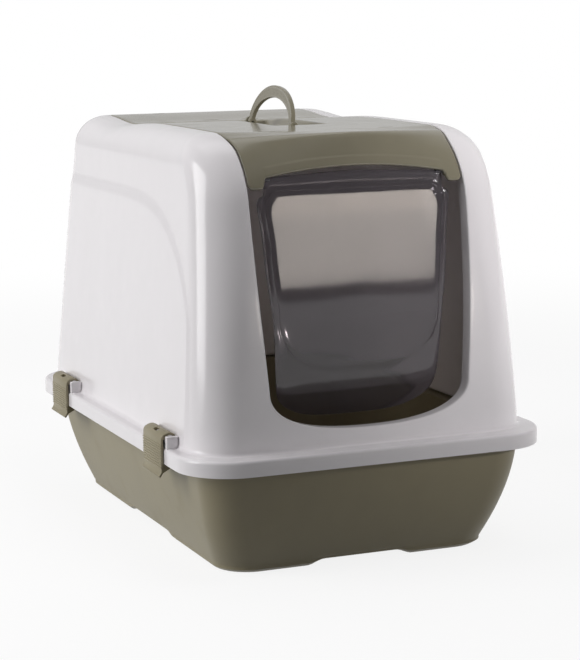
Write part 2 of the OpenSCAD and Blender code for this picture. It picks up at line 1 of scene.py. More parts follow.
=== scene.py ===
"""Hooded litter box: smooth mouldings and their plastics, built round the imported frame."""
import math

import bmesh
import bpy
import numpy as np
from bpy.props import FloatProperty, FloatVectorProperty, PointerProperty
from bpy.types import Operator, Panel, PropertyGroup
from mathutils import Matrix, Vector


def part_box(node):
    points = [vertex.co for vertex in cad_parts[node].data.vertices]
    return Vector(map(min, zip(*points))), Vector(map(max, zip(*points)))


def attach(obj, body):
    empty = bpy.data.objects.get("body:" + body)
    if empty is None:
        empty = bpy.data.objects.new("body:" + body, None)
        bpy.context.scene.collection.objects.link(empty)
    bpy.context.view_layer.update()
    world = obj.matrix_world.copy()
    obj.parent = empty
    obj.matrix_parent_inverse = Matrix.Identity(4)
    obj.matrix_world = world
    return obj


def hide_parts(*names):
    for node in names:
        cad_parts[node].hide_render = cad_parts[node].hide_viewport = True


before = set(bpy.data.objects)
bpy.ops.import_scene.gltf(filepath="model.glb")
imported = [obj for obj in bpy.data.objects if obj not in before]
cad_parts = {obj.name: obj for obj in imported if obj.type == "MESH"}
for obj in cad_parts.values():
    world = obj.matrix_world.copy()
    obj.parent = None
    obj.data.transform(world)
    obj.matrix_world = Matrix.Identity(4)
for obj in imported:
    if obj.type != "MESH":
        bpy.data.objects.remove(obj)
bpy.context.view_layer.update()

bl_info = {
    "name": "Hooded litter box",
    "version": (1, 0, 0),
    "blender": (4, 5, 0),
    "location": "3D View > Sidebar > Litter Box",
    "description": "Builds the mouldings, the plastics and the studio of a hooded litter box",
    "category": "Object",
}

# ---------- Sizes and colours that a user would change ----------


def length(name, description, default):
    """A length in metres, shown with its unit."""
    return FloatProperty(name=name, description=description, default=default, unit="LENGTH", precision=4)


def colour(name, description, default):
    """A linear colour."""
    return FloatVectorProperty(name=name, description=description, default=default, subtype="COLOR",
                               size=3, min=0.0, max=1.0)


class BoxSizes(PropertyGroup):
    """Sizes that the mouldings share"""

    width: length("Width", "Width over the skirt", 0.390)
    length: length("Length", "Length over the skirt, front to back", 0.560)
    height: length("Height", "Height of the top panels at the back", 0.4325)
    wall: length("Wall", "Thickness of the mouldings' walls", 0.0022)
    tray_height: length("Tray height", "Height of the tray's rim", 0.123)
    skirt: length("Skirt", "Depth of the skirt below the ledge", 0.016)
    seam: length("Seam", "Distance from the middle back to the seam between lid and cover", 0.1075)


class DetailSizes(PropertyGroup):
    """Sizes of the small forms on the mouldings"""

    relief: length("Relief", "Height of the raised field on the hood's sides and back", 0.0016)
    edge: length("Edge", "Radius of the mouldings' visible edges", 0.0016)
    panel: length("Flap panel", "Height of the flap's raised panel", 0.0014)
    rib: length("Rib", "Height of the ribs on a side clip", 0.0008)


class Colours(PropertyGroup):
    """Colours of the plastics"""

    white: colour("White", "Hood, grate", (0.852, 0.822, 0.842))
    taupe: colour("Taupe", "Tray and clips", (0.285, 0.250, 0.160))
    gloss: colour("Glossy taupe", "Lid, cover and handle", (0.235, 0.215, 0.155))
    smoke: colour("Smoke", "Flap", (0.36, 0.335, 0.37))
    felt: colour("Felt", "Odour filter", (0.028, 0.028, 0.030))


# ---------- Numbers the form follows, in metres ----------

LEDGE_SIDE, LEDGE_FRONT, LEDGE_BACK = 0.0145, 0.0236, 0.015
SKIRT_RADIUS, CORNER_RADIUS, SHOULDER, TOP_CORNER = 0.056, 0.045, 0.032, 0.018
SIDE_DRAFT, FRONT_DRAFT, BACK_DRAFT = 0.021, 0.0435, 0.0355
TOP_FALL, VALLEY, VALLEY_WIDTH = 0.0025, 0.0055, 0.055
ROUND_Z, ROUND_Y = 0.0675, 0.067
LEDGE_FILLET, SKIRT_ROUND = 0.004, 0.0032
SILL, DOOR_ROUND, DOOR_BOW, FLARE = 0.017, 0.042, 0.176, 0.017
SEAM_GAP, SIDE_GAP = 0.002, 0.0015
HEADER, HEADER_IN, TAB = 0.054, 0.003, 0.017
CREST_IN, CREST_BOW, CREST_FALL, NOSE = 0.006, 0.032, 0.0045, 0.030
DISH_HALF_WIDTH, DISH_HALF_LENGTH, DISH_DEPTH = 0.024, 0.076, 0.0075
CLIP_Y, CLIP_LENGTH, BEAD_RADIUS, BEAD_IN, BEAD_UP = 0.162, 0.054, 0.004, 0.0065, 0.0086
CLIP_WALL, CLIP_GAP, BLOCK_LENGTH, BLOCK_RISE = 0.0024, 0.0004, 0.0065, 0.0034
RIB_COUNT, RIB_PITCH, RIB_DROP = 10, 0.0025, 0.005
SIGHT_HALF_LENGTH, SIGHT_HALF_WIDTH, SIGHT_ANGLE = 0.006, 0.002, 52
PIN, PIN_BOSS, PIN_SLEEVE = 0.0025, 0.005, 0.0022
HANDLE_EAR, HANDLE_EAR_THICK, HANDLE_DROP = 0.0606, 0.0045, 0.003
# A place inside the box, from which every moulding faces away
INSIDE = np.array([0.0, 0.0, 0.2])


def smooth(t):
    """Rises from 0 to 1 as t does, level at both ends: 3t^2 - 2t^3."""
    t = np.clip(t, 0.0, 1.0)
    return t * t * (3 - 2 * t)


def joined(*runs):
    """Several rising runs of numbers as one, without repeats."""
    return np.unique(np.round(np.concatenate([np.atleast_1d(r) for r in runs]), 7))


class Form:
    """The hood's form, which every other moulding follows."""

    def __init__(self, size):
        self.width, self.length, self.height, self.wall = size.width, size.length, size.height, size.wall
        self.tray_height, self.seam = size.tray_height, size.seam
        self.ledge_z = size.tray_height + 0.0032
        self.skirt_z = self.ledge_z - size.skirt
        self.sill_z = self.ledge_z + SILL
        self.tab_z = size.height - HEADER
        self.bend_z = size.height - ROUND_Z
        self.shoulder_z = size.height - SHOULDER
        self.top_hw = float(self.half(size.height)) - SHOULDER - 0.008
        self.top_back = float(self.rear(size.height)) - SHOULDER + 0.0046
        self.lid_hw = self.top_hw - SIDE_GAP
        self.cover_back = self.top_back - 0.0032

    def rise(self, z):
        """Share of the way from the ledge to the top."""
        return (z - self.ledge_z) / (self.height - self.ledge_z)

    def half(self, z):
        """Half width of the walls: they lean in evenly."""
        return self.width / 2 - LEDGE_SIDE - SIDE_DRAFT * self.rise(z)

    def rear(self, z):
        """Place of the back wall: it leans in evenly."""
        return self.length / 2 - LEDGE_BACK - BACK_DRAFT * self.rise(z)

    def wall_front(self, z):
        """Place of the front wall: it leans back as a mix of the height and its square."""
        r = self.rise(z)
        return LEDGE_FRONT - self.length / 2 + FRONT_DRAFT * (0.2 * r + 0.8 * r * r)

    def dip(self, y):
        """Fall of the top: a little to the front, and a bell-shaped valley along the seam."""
        fall = TOP_FALL * (self.length / 2 - y) / self.length
        return -fall - VALLEY * np.exp(-(((y - self.seam) / VALLEY_WIDTH) ** 2))

    def top(self, y):
        """Height of the top panels over a place along the box."""
        return self.height + self.dip(y)

    def bend(self, z):
        """Share by which the front is drawn back at height z: a quarter of a circle from 0 to 1."""
        return 1 - np.sqrt(1 - np.clip((z - self.bend_z) / ROUND_Z, 0.0, 1.0) ** 2)

    def front(self, z):
        """Front of the hood: the wall's line, drawn back towards the top."""
        return self.wall_front(z) + ROUND_Y * self.bend(z)

    def level(self, z):
        """Half width, front, back, corner radius and share of the top's dip at height z."""
        turn = np.arcsin(np.clip((z - self.shoulder_z) / SHOULDER, 0.0, 1.0))
        inset = SHOULDER * (1 - np.cos(turn))
        radius = np.maximum(TOP_CORNER, CORNER_RADIUS - inset)
        return self.half(z) - inset, self.front(z), self.rear(z) - inset, radius, np.sin(turn) ** 2

    def door_side(self, z):
        """Half width of the opening: bowed up to the header, then flared to the top's."""
        s = np.clip((z - self.sill_z - DOOR_ROUND) / DOOR_BOW, 0.0, 1.0)
        bowed = self.top_hw - 0.012 + 0.009 * (1 - (1 - s) ** 1.6)
        return bowed + HEADER_IN * smooth((z - self.height + FLARE) / FLARE)

    def to_side(self, x):
        """Share of the way from the middle to the lid's side, to the power 1.6."""
        return (np.abs(x) / self.lid_hw) ** 1.6

    def crest(self, x):
        """Where the lid's top meets its header: bowed in plan."""
        return self.wall_front(self.height) + CREST_IN + CREST_BOW * self.to_side(x)

    def crest_z(self, x):
        """Height of the crest: the top's, less a fall towards the sides."""
        return self.top(self.crest(x)) - CREST_FALL * self.to_side(x)

    def header(self, x, z):
        """Front of the lid's header: the hood's front, bent by as much as brings it to the crest."""
        top = self.crest_z(x)
        return self.wall_front(z) + (self.crest(x) - self.wall_front(top)) * self.bend(z) / self.bend(top)


# ---------- Shapes as whole arrays ----------


def ring(p, half, front, back, radius):
    """Rounded rectangle in plan.  p counts its eight stretches from the front end of the right
    side: side, corner, back, corner, side, corner, front, corner.  Straight stretches run evenly
    and corners are quarter circles."""
    p, half, front, back, radius = np.broadcast_arrays(p, half, front, back, radius)
    stretch = np.floor(p) % 8
    t = p - np.floor(p)
    c, s = radius * np.cos(t * np.pi / 2), radius * np.sin(t * np.pi / 2)
    side, depth = half - radius, back - front - 2 * radius
    picks = [stretch == k for k in range(8)]
    x = np.select(picks, [half, side + c, side * (1 - 2 * t), -side - s, -half, -side - c,
                          side * (2 * t - 1), side + s])
    y = np.select(picks, [front + radius + depth * t, back - radius + s, back, back - radius + c,
                          back - radius - depth * t, front + radius - s, front, front + radius - c])
    return x, y


def ring_normal(p):
    """Outward direction in plan at each place of ring."""
    stretch = np.floor(p) % 8
    t = (p - np.floor(p)) * np.pi / 2
    c, s, one, none = np.cos(t), np.sin(t), np.ones_like(t), np.zeros_like(t)
    picks = [stretch == k for k in range(8)]
    return (np.select(picks, [one, c, none, -s, -one, -c, none, s]),
            np.select(picks, [none, s, one, c, none, -s, -one, -c]))


def unit(v):
    """Vectors brought to length 1."""
    return v / np.maximum(np.linalg.norm(v, axis=-1, keepdims=True), 1e-12)


def points(x, y, z):
    """Coordinates, spread to one shape, as points."""
    return np.stack(np.broadcast_arrays(x, y, z), axis=-1).astype(float)


def circle(radius, count=28):
    """Circle as a closed outline."""
    a = np.linspace(0, 2 * np.pi, count, endpoint=False)
    return np.stack([radius * np.cos(a), radius * np.sin(a)], axis=-1)


def rectangle(x0, y0, x1, y1, radius=0.0006):
    """Rounded rectangle as a closed outline."""
    p = np.concatenate([[0.0], joined(np.linspace(1, 2, 5)), joined(np.linspace(3, 4, 5)),
                        joined(np.linspace(5, 6, 5)), joined(np.linspace(7, 8, 5))[:-1]])
    x, y = ring(p, (x1 - x0) / 2, y0, y1, radius)
    return np.stack([x + (x0 + x1) / 2, y], axis=-1)


def drawn_in(outline, inset):
    """The closed outline moved inwards by inset along its own normals."""
    tangent = unit(np.roll(outline, -1, axis=0) - np.roll(outline, 1, axis=0))
    normal = np.stack([tangent[:, 1], -tangent[:, 0]], axis=-1)
    x, y = outline[:, 0], outline[:, 1]
    area = np.sum(x * np.roll(y, -1) - y * np.roll(x, -1))
    return outline - normal * inset * np.sign(area)


class Shell:
    """Gathers surfaces into one mesh."""

    def __init__(self):
        self.points, self.faces, self.count = [], [], 0

    def add(self, verts, faces):
        self.points.append(verts.reshape(-1, 3))
        self.faces += [f + self.count for f in faces]
        self.count += len(self.points[-1])

    def sheet(self, grid, closed=False, flip=False):
        """Quads over a grid of points; closed joins its last column to its first."""
        rows, cols = grid.shape[:2]
        at = np.arange(rows * cols).reshape(rows, cols)
        nxt = np.roll(at, -1, axis=1)
        a, b, c, d = at[:-1], nxt[:-1], nxt[1:], at[1:]
        if not closed:
            a, b, c, d = a[:, :-1], b[:, :-1], c[:, :-1], d[:, :-1]
        quads = np.stack([a, b, c, d], axis=-1).reshape(-1, 4)
        self.add(grid, [quads[:, ::-1] if flip else quads])

    def loft(self, rings):
        """Closed solid through like closed rings, with flat ends, turned to face outwards."""
        rows, cols = rings.shape[:2]
        a = rings[:-1]
        b, c = np.roll(a, -1, axis=1), np.roll(rings[1:], -1, axis=1)
        volume = np.sum(np.cross(a, b) * c) + np.sum(np.cross(a, c) * rings[1:])
        for end, sign in ((rings[0], -1), (rings[-1], 1)):
            mid = end.mean(axis=0)
            volume += sign * np.sum(np.cross(end, np.roll(end, -1, axis=0)) @ mid)
        at = np.arange(rows * cols).reshape(rows, cols)
        nxt = np.roll(at, -1, axis=1)
        quads = np.stack([at[:-1], nxt[:-1], nxt[1:], at[1:]], axis=-1).reshape(-1, 4)
        ends = [at[0][::-1][None], at[-1][None]]
        turned = volume < 0
        self.add(rings, [f[:, ::-1] if turned else f for f in [quads, *ends]])

    def bar(self, outline, low, high, axis, edge=0.0005, at=(0, 0, 0), steps=3):
        """Straight bar of the outline along an axis, its two ends rounded over by edge."""
        a = np.linspace(0, np.pi / 2, steps)
        inset = np.concatenate([edge * (1 - np.sin(a)), edge * (1 - np.cos(a))])
        along = np.concatenate([low + edge * (1 - np.cos(a)), high - edge * (1 - np.sin(a))])
        rings = np.stack([np.insert(drawn_in(outline, d), axis, s, axis=1) for d, s in zip(inset, along)])
        self.loft(rings + np.array(at, float))

    def piece(self, name, weld=1e-6):
        """The mesh object, its doubles merged and its faces that fold to a line dropped."""
        verts = np.concatenate(self.points)
        _, first, back = np.unique(np.round(verts / weld).astype(np.int64), axis=0,
                                   return_index=True, return_inverse=True)
        back = back.ravel()
        loops, sizes = [], []
        for faces in self.faces:
            faces = back[faces]
            same = faces == np.roll(faces, -1, axis=1)
            folds = same.sum(axis=1)
            whole = faces[folds == 0]
            loops.append(whole.ravel())
            sizes.append(np.full(len(whole), faces.shape[1]))
            if faces.shape[1] == 4:
                once = folds == 1
                loops.append(faces[once][~same[once]])
                sizes.append(np.full(int(once.sum()), 3))
            else:
                for row, doubled in zip(faces[folds > 0], same[folds > 0]):
                    loops.append(row[~doubled])
                    sizes.append(np.array([np.sum(~doubled)]))
        loops, sizes = np.concatenate(loops), np.concatenate(sizes)
        mesh = bpy.data.meshes.new(name)
        mesh.vertices.add(len(first))
        mesh.vertices.foreach_set("co", verts[first].astype(np.float32).ravel())
        mesh.loops.add(len(loops))
        mesh.loops.foreach_set("vertex_index", loops.astype(np.int32))
        mesh.polygons.add(len(sizes))
        mesh.polygons.foreach_set("loop_start", (np.cumsum(sizes) - sizes).astype(np.int32))
        mesh.update(calc_edges=True)
        mesh.validate()
        piece = bpy.data.objects.new(name, mesh)
        bpy.context.scene.collection.objects.link(piece)
        return piece


def rim(loop, inner, radius, depth, steps=5):
    """Rows that turn a surface's closed edge over and inwards.  loop is the edge and inner the
    points just inside it.  The turn is a quarter circle of radius, then straight in by depth."""
    along = unit(np.roll(loop, -1, axis=0) - np.roll(loop, 1, axis=0))
    out = loop - inner
    out = out - np.sum(out * along, axis=1, keepdims=True) * along
    weight = np.linalg.norm(out, axis=1, keepdims=True)
    out = unit(np.where(weight > 1e-5, out, np.roll(out, 1, axis=0) + np.roll(out, -1, axis=0)))
    normal = unit(np.cross(along, out))
    if np.sum(normal * (loop - INSIDE)) < 0:
        normal = -normal
    angles = np.linspace(0, np.pi / 2, steps)[1:, None, None]
    turned = loop + radius * (np.sin(angles) * out - (1 - np.cos(angles)) * normal)
    depth = np.broadcast_to(depth, len(loop))[:, None]
    shares = np.linspace(0, 1, 4)[1:, None, None]
    straight = loop + radius * (out - normal) - shares * depth * normal
    return np.concatenate([loop[None], turned, straight])


def settle(piece):
    """Applies the piece's modifiers, so its own mesh is final."""
    bpy.context.view_layer.update()
    graph = bpy.context.evaluated_depsgraph_get()
    mesh = bpy.data.meshes.new_from_object(piece.evaluated_get(graph))
    piece.modifiers.clear()
    old = piece.data
    piece.data = mesh
    bpy.data.meshes.remove(old)


def thicken(piece, wall):
    """Turns an open sheet's faces outwards and gives it its wall, inwards."""
    work = bmesh.new()
    work.from_mesh(piece.data)
    bmesh.ops.recalc_face_normals(work, faces=work.faces)
    work.to_mesh(piece.data)
    work.free()
    solid = piece.modifiers.new("wall", "SOLIDIFY")
    solid.thickness = wall
    solid.offset = -1.0
    settle(piece)


def cut(piece, cutter):
    """Cuts the closed cutter out of the piece."""
    tool = piece.modifiers.new("cut", "BOOLEAN")
    tool.operation = "DIFFERENCE"
    tool.solver = "EXACT"
    tool.object = cutter
    settle(piece)
    bpy.data.objects.remove(cutter)


def finished(piece, material, body, node, crease=32):
    """Shades the piece smooth but for its creases, sets its material and body, and hides the frame's part for
    its node.
    """
    mesh = piece.data
    mesh.polygons.foreach_set("use_smooth", np.ones(len(mesh.polygons), bool))
    mesh.set_sharp_from_angle(angle=math.radians(crease))
    mesh.materials.clear()
    mesh.materials.append(material)
    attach(piece, body)
    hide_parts(node)
    return piece


# ---------- Materials ----------

FINISH = "_finish"


class Value:
    """A socket's value, on which Python's operators add Math nodes."""

    def __init__(self, graph, socket):
        self.graph, self.socket = graph, socket

    def math(self, operation, first, second=0.0):
        return self.graph.node("ShaderNodeMath", {"operation": operation}, {0: first, 1: second})

    def __add__(self, other):
        return self.math("ADD", self, other)

    def __sub__(self, other):
        return self.math("SUBTRACT", self, other)

    def __rsub__(self, other):
        return self.math("SUBTRACT", other, self)

    def __mul__(self, other):
        return self.math("MULTIPLY", self, other)

    __radd__ = __add__
    __rmul__ = __mul__


class Graph:
    """A material's or a world's nodes."""

    def __init__(self, owner):
        owner.use_nodes = True
        self.tree = owner.node_tree
        self.tree.nodes.clear()

    def node(self, kind, settings=None, inputs=None, output=0):
        """Any node: its settings first, a ramp's stops among them, then its sockets."""
        node = self.tree.nodes.new(kind)
        for name, value in (settings or {}).items():
            if name == "stops":
                ramp = node.color_ramp
                while len(ramp.elements) < len(value):
                    ramp.elements.new(0.5)
                for element, (place, tint) in zip(ramp.elements, value):
                    element.position = place
                    element.color = (*tint, 1.0)
            else:
                setattr(node, name, value)
        for name, value in (inputs or {}).items():
            socket = node.inputs[name]
            if isinstance(value, Value):
                self.tree.links.new(value.socket, socket)
            elif hasattr(value, "__len__") and len(value) == 3 and len(socket.default_value) == 4:
                socket.default_value = (*value, 1.0)
            else:
                socket.default_value = value
        return Value(self, node.outputs[output]) if node.outputs else node

    def place(self):
        return self.node("ShaderNodeTexCoord", output="Object")

    def stretched(self, place, scale):
        return self.node("ShaderNodeMapping", {}, {"Vector": place, "Scale": scale})

    def noise(self, place, size, detail=2.0, roughness=0.5):
        """Soft noise whose blotches are about size across, from 0 to 1."""
        return self.node("ShaderNodeTexNoise", {}, {"Vector": place, "Scale": 1 / size, "Detail": detail,
                                                    "Roughness": roughness})

    def mixed(self, share, low, high):
        """Between two colours, as share goes from 0 to 1."""
        return self.node("ShaderNodeMix", {"data_type": "RGBA"}, {0: share, 6: low, 7: high}, output=2)

    def steps(self, value, low, high):
        """0 below low, 1 above high, smooth between."""
        return self.node("ShaderNodeMapRange", {"interpolation_type": "SMOOTHSTEP"},
                         {"Value": value, "From Min": low, "From Max": high})

    def bump(self, height, distance, strength=1.0):
        return self.node("ShaderNodeBump", {}, {"Height": height, "Distance": distance, "Strength": strength})

    def surface(self, shader):
        self.node("ShaderNodeOutputMaterial", {}, {"Surface": shader})


def shade(tint, factor):
    """The colour made darker or lighter by a factor."""
    return tuple(min(1.0, c * factor) for c in tint)


def moulded(name, tint, roughness, grain=0.0006, grain_height=0.00002, streak=0.03, coat=0.0):
    """Moulded plastic: faint flow marks in its colour, a fine grain, and gloss that varies a little
    where the moulding was handled."""
    material = bpy.data.materials.new(name + FINISH)
    g = Graph(material)
    place = g.place()
    flow = g.noise(g.stretched(place, (1.0, 1.0, 0.35)), 0.09, 3.0, 0.55)
    cloud = g.noise(place, 0.022, 2.0)
    tone = g.steps(flow * 0.7 + cloud * 0.3, 0.3, 0.7)
    scuff = g.steps(g.noise(place, 0.035, 5.0, 0.62), 0.52, 0.78)
    fine = g.noise(place, grain, 2.0, 0.6)
    wave = g.noise(place, 0.045, 1.0)
    relief = fine * grain_height + wave * 0.00006
    shader = g.node("ShaderNodeBsdfPrincipled", {}, {
        "Base Color": g.mixed(tone, shade(tint, 1 - streak), shade(tint, 1 + streak)),
        "Roughness": scuff * 0.07 + (cloud * 0.05 + roughness),
        "IOR": 1.49,
        "Coat Weight": coat,
        "Coat Roughness": 0.06,
        "Normal": g.bump(relief, 1.0),
    })
    g.surface(shader)
    return material


def white_plastic(colours):
    return moulded("white_plastic", tuple(colours.white), 0.17, 0.0012, 0.000004, 0.012, 0.25)


def taupe_plastic(colours):
    return moulded("taupe_plastic", tuple(colours.taupe), 0.44, 0.0006, 0.00002, 0.05)


def taupe_gloss(colours):
    return moulded("taupe_gloss", tuple(colours.gloss), 0.16, 0.0012, 0.000004, 0.04, 0.3)


def smoked_clear(colours):
    """Clear smoked plastic: tinted transmission, fine hairline scratches in its gloss."""
    material = bpy.data.materials.new("smoked_clear" + FINISH)
    g = Graph(material)
    place = g.place()
    hair = g.noise(g.stretched(place, (1.0, 1.0, 0.04)), 0.0012, 3.0)
    haze = g.noise(place, 0.05, 3.0)
    wave = g.noise(place, 0.06, 1.0)
    shader = g.node("ShaderNodeBsdfPrincipled", {}, {
        "Base Color": g.mixed(g.steps(haze, 0.3, 0.7), shade(colours.smoke, 0.97),
                              shade(colours.smoke, 1.03)),
        "Roughness": g.steps(hair, 0.58, 0.8) * 0.06 + (haze * 0.04 + 0.045),
        "IOR": 1.49,
        "Transmission Weight": 0.9,
        "Normal": g.bump(wave, 0.00006),
    })
    g.surface(shader)
    return material


def filter_felt(colours):
    """Charcoal felt: fibres as stretched noise in three directions, with pale specks of carbon."""
    material = bpy.data.materials.new("filter_felt" + FINISH)
    g = Graph(material)
    place = g.place()
    fibres = [g.noise(g.stretched(place, s), 0.0009, 3.0) for s in ((1, 0.2, 1), (0.2, 1, 1), (1, 1, 0.4))]
    mat = fibres[0] * 0.34 + fibres[1] * 0.33 + fibres[2] * 0.33
    specks = g.steps(g.noise(place, 0.0022, 1.0), 0.62, 0.74)
    tint = g.mixed(mat, shade(colours.felt, 0.5), shade(colours.felt, 2.4))
    shader = g.node("ShaderNodeBsdfPrincipled", {}, {
        "Base Color": g.mixed(specks, tint, shade(colours.felt, 3.0)),
        "Roughness": 0.95,
        "Sheen Weight": 0.3,
        "Normal": g.bump(mat, 0.0009, 0.8),
    })
    g.surface(shader)
    return material


# ---------- Pieces ----------


def relief(form, x, y, z, height):
    """Height of the field raised on the sides and the back of the hood.  Seen from the side its
    edge is a quarter of a superellipse, of power 2.6, that runs level to the back; the field stands
    proud of the upper wall by a soft step."""
    reach = np.clip(-y / 0.222, 0.0, 2.0)
    climb = np.clip((z - form.ledge_z) / 0.236, 0.0, 2.0)
    measure = (reach**2.6 + climb**2.6) ** (1 / 2.6)
    width = 0.016 + 0.045 * np.clip(climb, 0.0, 1.0)
    return height * (1 - smooth((measure - 1 + width / 2) / width))


def hood_walls(form, detail, shell):
    """Walls, shoulders and top of the hood, and the turned-in rim of its opening.

    Walls: ring() at each height, between the corners' front ends, pushed out by relief().
    Front: straight lines across the wall from the door's edge to the corners and the ledge.
    Top: straight lines in plan from the shoulder to the opening, laid on the shoulder's form."""
    edge = detail.edge
    low_z = form.ledge_z + LEDGE_FILLET
    door_z = form.sill_z + DOOR_ROUND
    last_turn = math.radians(70)
    turns = np.linspace(0, last_turn, 13)
    heights = joined(np.linspace(low_z, door_z, 15), np.linspace(door_z, form.bend_z, 46),
                     np.linspace(form.bend_z, form.shoulder_z, 13), form.shoulder_z + SHOULDER * np.sin(turns))
    upper = heights[heights >= door_z - 1e-6]
    half, front, back, radius, lift = form.level(heights)

    side = np.concatenate([np.linspace(0, 0.1, 16), np.linspace(0.1, 1, 72)[1:]])
    turn = np.linspace(0, 1, 13)
    p = np.concatenate([side, 1 + turn[1:], 2 + np.linspace(0, 1, 30)[1:], 3 + turn[1:], 5 - side[::-1][1:]])
    column = [a[:, None] for a in (half, front, back, radius)]
    x, y = ring(p[None], *column)
    z = heights[:, None] + lift[:, None] * form.dip(y)
    nx, ny = ring_normal(p)
    push = relief(form, x, y, z, detail.relief)
    body = points(x + push * nx, y + push * ny, z)
    shell.sheet(body)

    def place_of(sigma, level_half, level_radius):
        """Place on ring() of a distance sigma along the front from its middle."""
        flat, arc = level_half - level_radius, level_radius * np.pi / 2
        over = np.clip((np.abs(sigma) - flat) / arc, 0.0, 0.9999999)
        middle = 6.5 + sigma / (2 * flat)
        return np.where(np.abs(sigma) <= flat, np.clip(middle, 6, 6.9999999),
                        np.where(sigma > 0, 7 + over, 5.9999999 - over))

    def across(z_level, half_width):
        """Distance along the front from its middle to where x is half_width."""
        level_half, _, _, level_radius, _ = form.level(z_level)
        flat = level_half - level_radius
        bent = level_radius * np.arcsin(np.clip((half_width - flat) / level_radius, 0.0, 1.0))
        return np.where(half_width <= flat, half_width, flat + bent)

    def front_end(z_level):
        """Distance along the front from its middle to the end of the corner."""
        level_half, _, _, level_radius, _ = form.level(z_level)
        return level_half - level_radius + level_radius * np.pi / 2

    corner = math.radians(38)
    lower = heights[heights <= door_z + 1e-6]
    down = np.linspace(0, corner, len(lower))
    sweep = np.linspace(corner, math.pi - corner, 46)

    def door_low(angle):
        """Lower edge of the door, a superellipse of power 2.4, drawn outwards by the edge radius."""
        c, s = np.abs(np.cos(angle)) ** (2 / 2.4), np.abs(np.sin(angle)) ** (2 / 2.4)
        return (-(form.top_hw - 0.012 + edge) * c * np.sign(np.cos(angle)),
                form.sill_z - edge + (DOOR_ROUND + edge) * (1 - s))

    up = upper[::-1]
    down_x, down_z = door_low(down)
    sweep_x, sweep_z = door_low(sweep)
    door = np.concatenate([
        np.stack([-across(up, form.door_side(up) + edge), up], axis=-1),
        np.stack([down_x, down_z], axis=-1)[1:],
        np.stack([sweep_x, sweep_z], axis=-1)[1:-1],
        np.stack([-down_x, down_z], axis=-1)[::-1][:-1],
        np.stack([across(upper, form.door_side(upper) + edge), upper], axis=-1)])
    end = float(front_end(low_z))
    low_p = np.concatenate([5 + turn, 6 + np.linspace(0, 1, len(sweep) - 2 * (len(turn) - 1))[1:-1], 7 + turn])
    low_half, _, _, low_radius, _ = form.level(low_z)
    flat = low_half - low_radius
    low_sigma = np.where(low_p < 6, -flat - (6 - low_p) * low_radius * np.pi / 2,
                         np.where(low_p > 7, flat + (low_p - 7) * low_radius * np.pi / 2,
                                  2 * flat * (low_p - 6.5)))
    all_down = heights[::-1]
    outer = np.concatenate([
        np.stack([-front_end(all_down), all_down], axis=-1),
        np.stack([low_sigma, np.full_like(low_sigma, low_z)], axis=-1)[1:-1],
        np.stack([front_end(heights), heights], axis=-1)])
    s = np.linspace(0, 1, 26)[None, :, None]
    blend = door[:, None] * (1 - s) + outer[:, None] * s
    level_half, level_front, level_back, level_radius, lift = form.level(blend[..., 1])
    x, y = ring(place_of(blend[..., 0], level_half, level_radius), level_half, level_front, level_back,
                level_radius)
    face = points(x, y, blend[..., 1] + lift * form.dip(y))
    face[: len(heights), -1] = body[::-1, -1]
    face[-len(heights):, -1] = body[:, 0]
    shell.sheet(face, flip=True)

    # Top, from the last shoulder row to the opening
    start = np.concatenate([face[-1], body[-1, 1:], face[0, ::-1][1:]])
    reach = form.top_hw + edge
    first_y = float(body[-1, 0, 1])
    stretch = np.linspace(0, 1, face.shape[1])
    pillar_y = face[-1, 0, 1] + (first_y - face[-1, 0, 1]) * stretch
    corner_radius = 0.008 + edge
    open_x, open_y = ring(p[1:-1], reach, first_y - corner_radius, form.top_back + edge, corner_radius)
    goal = np.concatenate([
        np.stack([np.full_like(pillar_y, reach), pillar_y], axis=-1),
        np.stack([open_x, open_y], axis=-1),
        np.stack([np.full_like(pillar_y, -reach), pillar_y[::-1]], axis=-1)])
    goal[0], goal[-1] = start[0, :2], start[-1, :2]
    share = np.linspace(0, 1, 12)[:, None, None]
    plan = start[None, :, :2] * (1 - share) + goal[None] * share
    cap = points(plan[..., 0], plan[..., 1], top_height(form, plan[..., 0], plan[..., 1]))
    cap[0] = start
    shell.sheet(cap)

    # The opening's edge, right round: along the top, then down the door and up again
    loop = np.concatenate([cap[-1], face[1:-1, 0]])
    inner = np.concatenate([cap[-2], face[1:-1, 1]])
    depth = 0.0036 + 0.0096 * (1 - smooth((loop[:, 2] - form.tab_z + 0.004) / 0.02))
    shell.sheet(rim(loop, inner, edge, depth), closed=True, flip=True)
    return p, low_p, body


def top_height(form, x, y):
    """Height of the shoulder and the top over a point in plan.  The shoulder's angle is found by
    halving: the point lies on the rounded rectangle of just one angle, or on the flat top."""
    low, high = np.full(x.shape, math.radians(45)), np.full(x.shape, math.pi / 2)
    for _ in range(24):
        turn = (low + high) / 2
        half, front, back, radius, _ = form.level(form.shoulder_z + SHOULDER * np.sin(turn))
        u = np.abs(x) - half + radius
        v = np.abs(y - (front + back) / 2) - (back - front) / 2 + radius
        gap = np.hypot(np.maximum(u, 0), np.maximum(v, 0)) + np.minimum(np.maximum(u, v), 0) - radius
        low, high = np.where(gap < 0, turn, low), np.where(gap < 0, high, turn)
    s = np.sin((low + high) / 2)
    return form.shoulder_z + SHOULDER * s + s * s * form.dip(y)


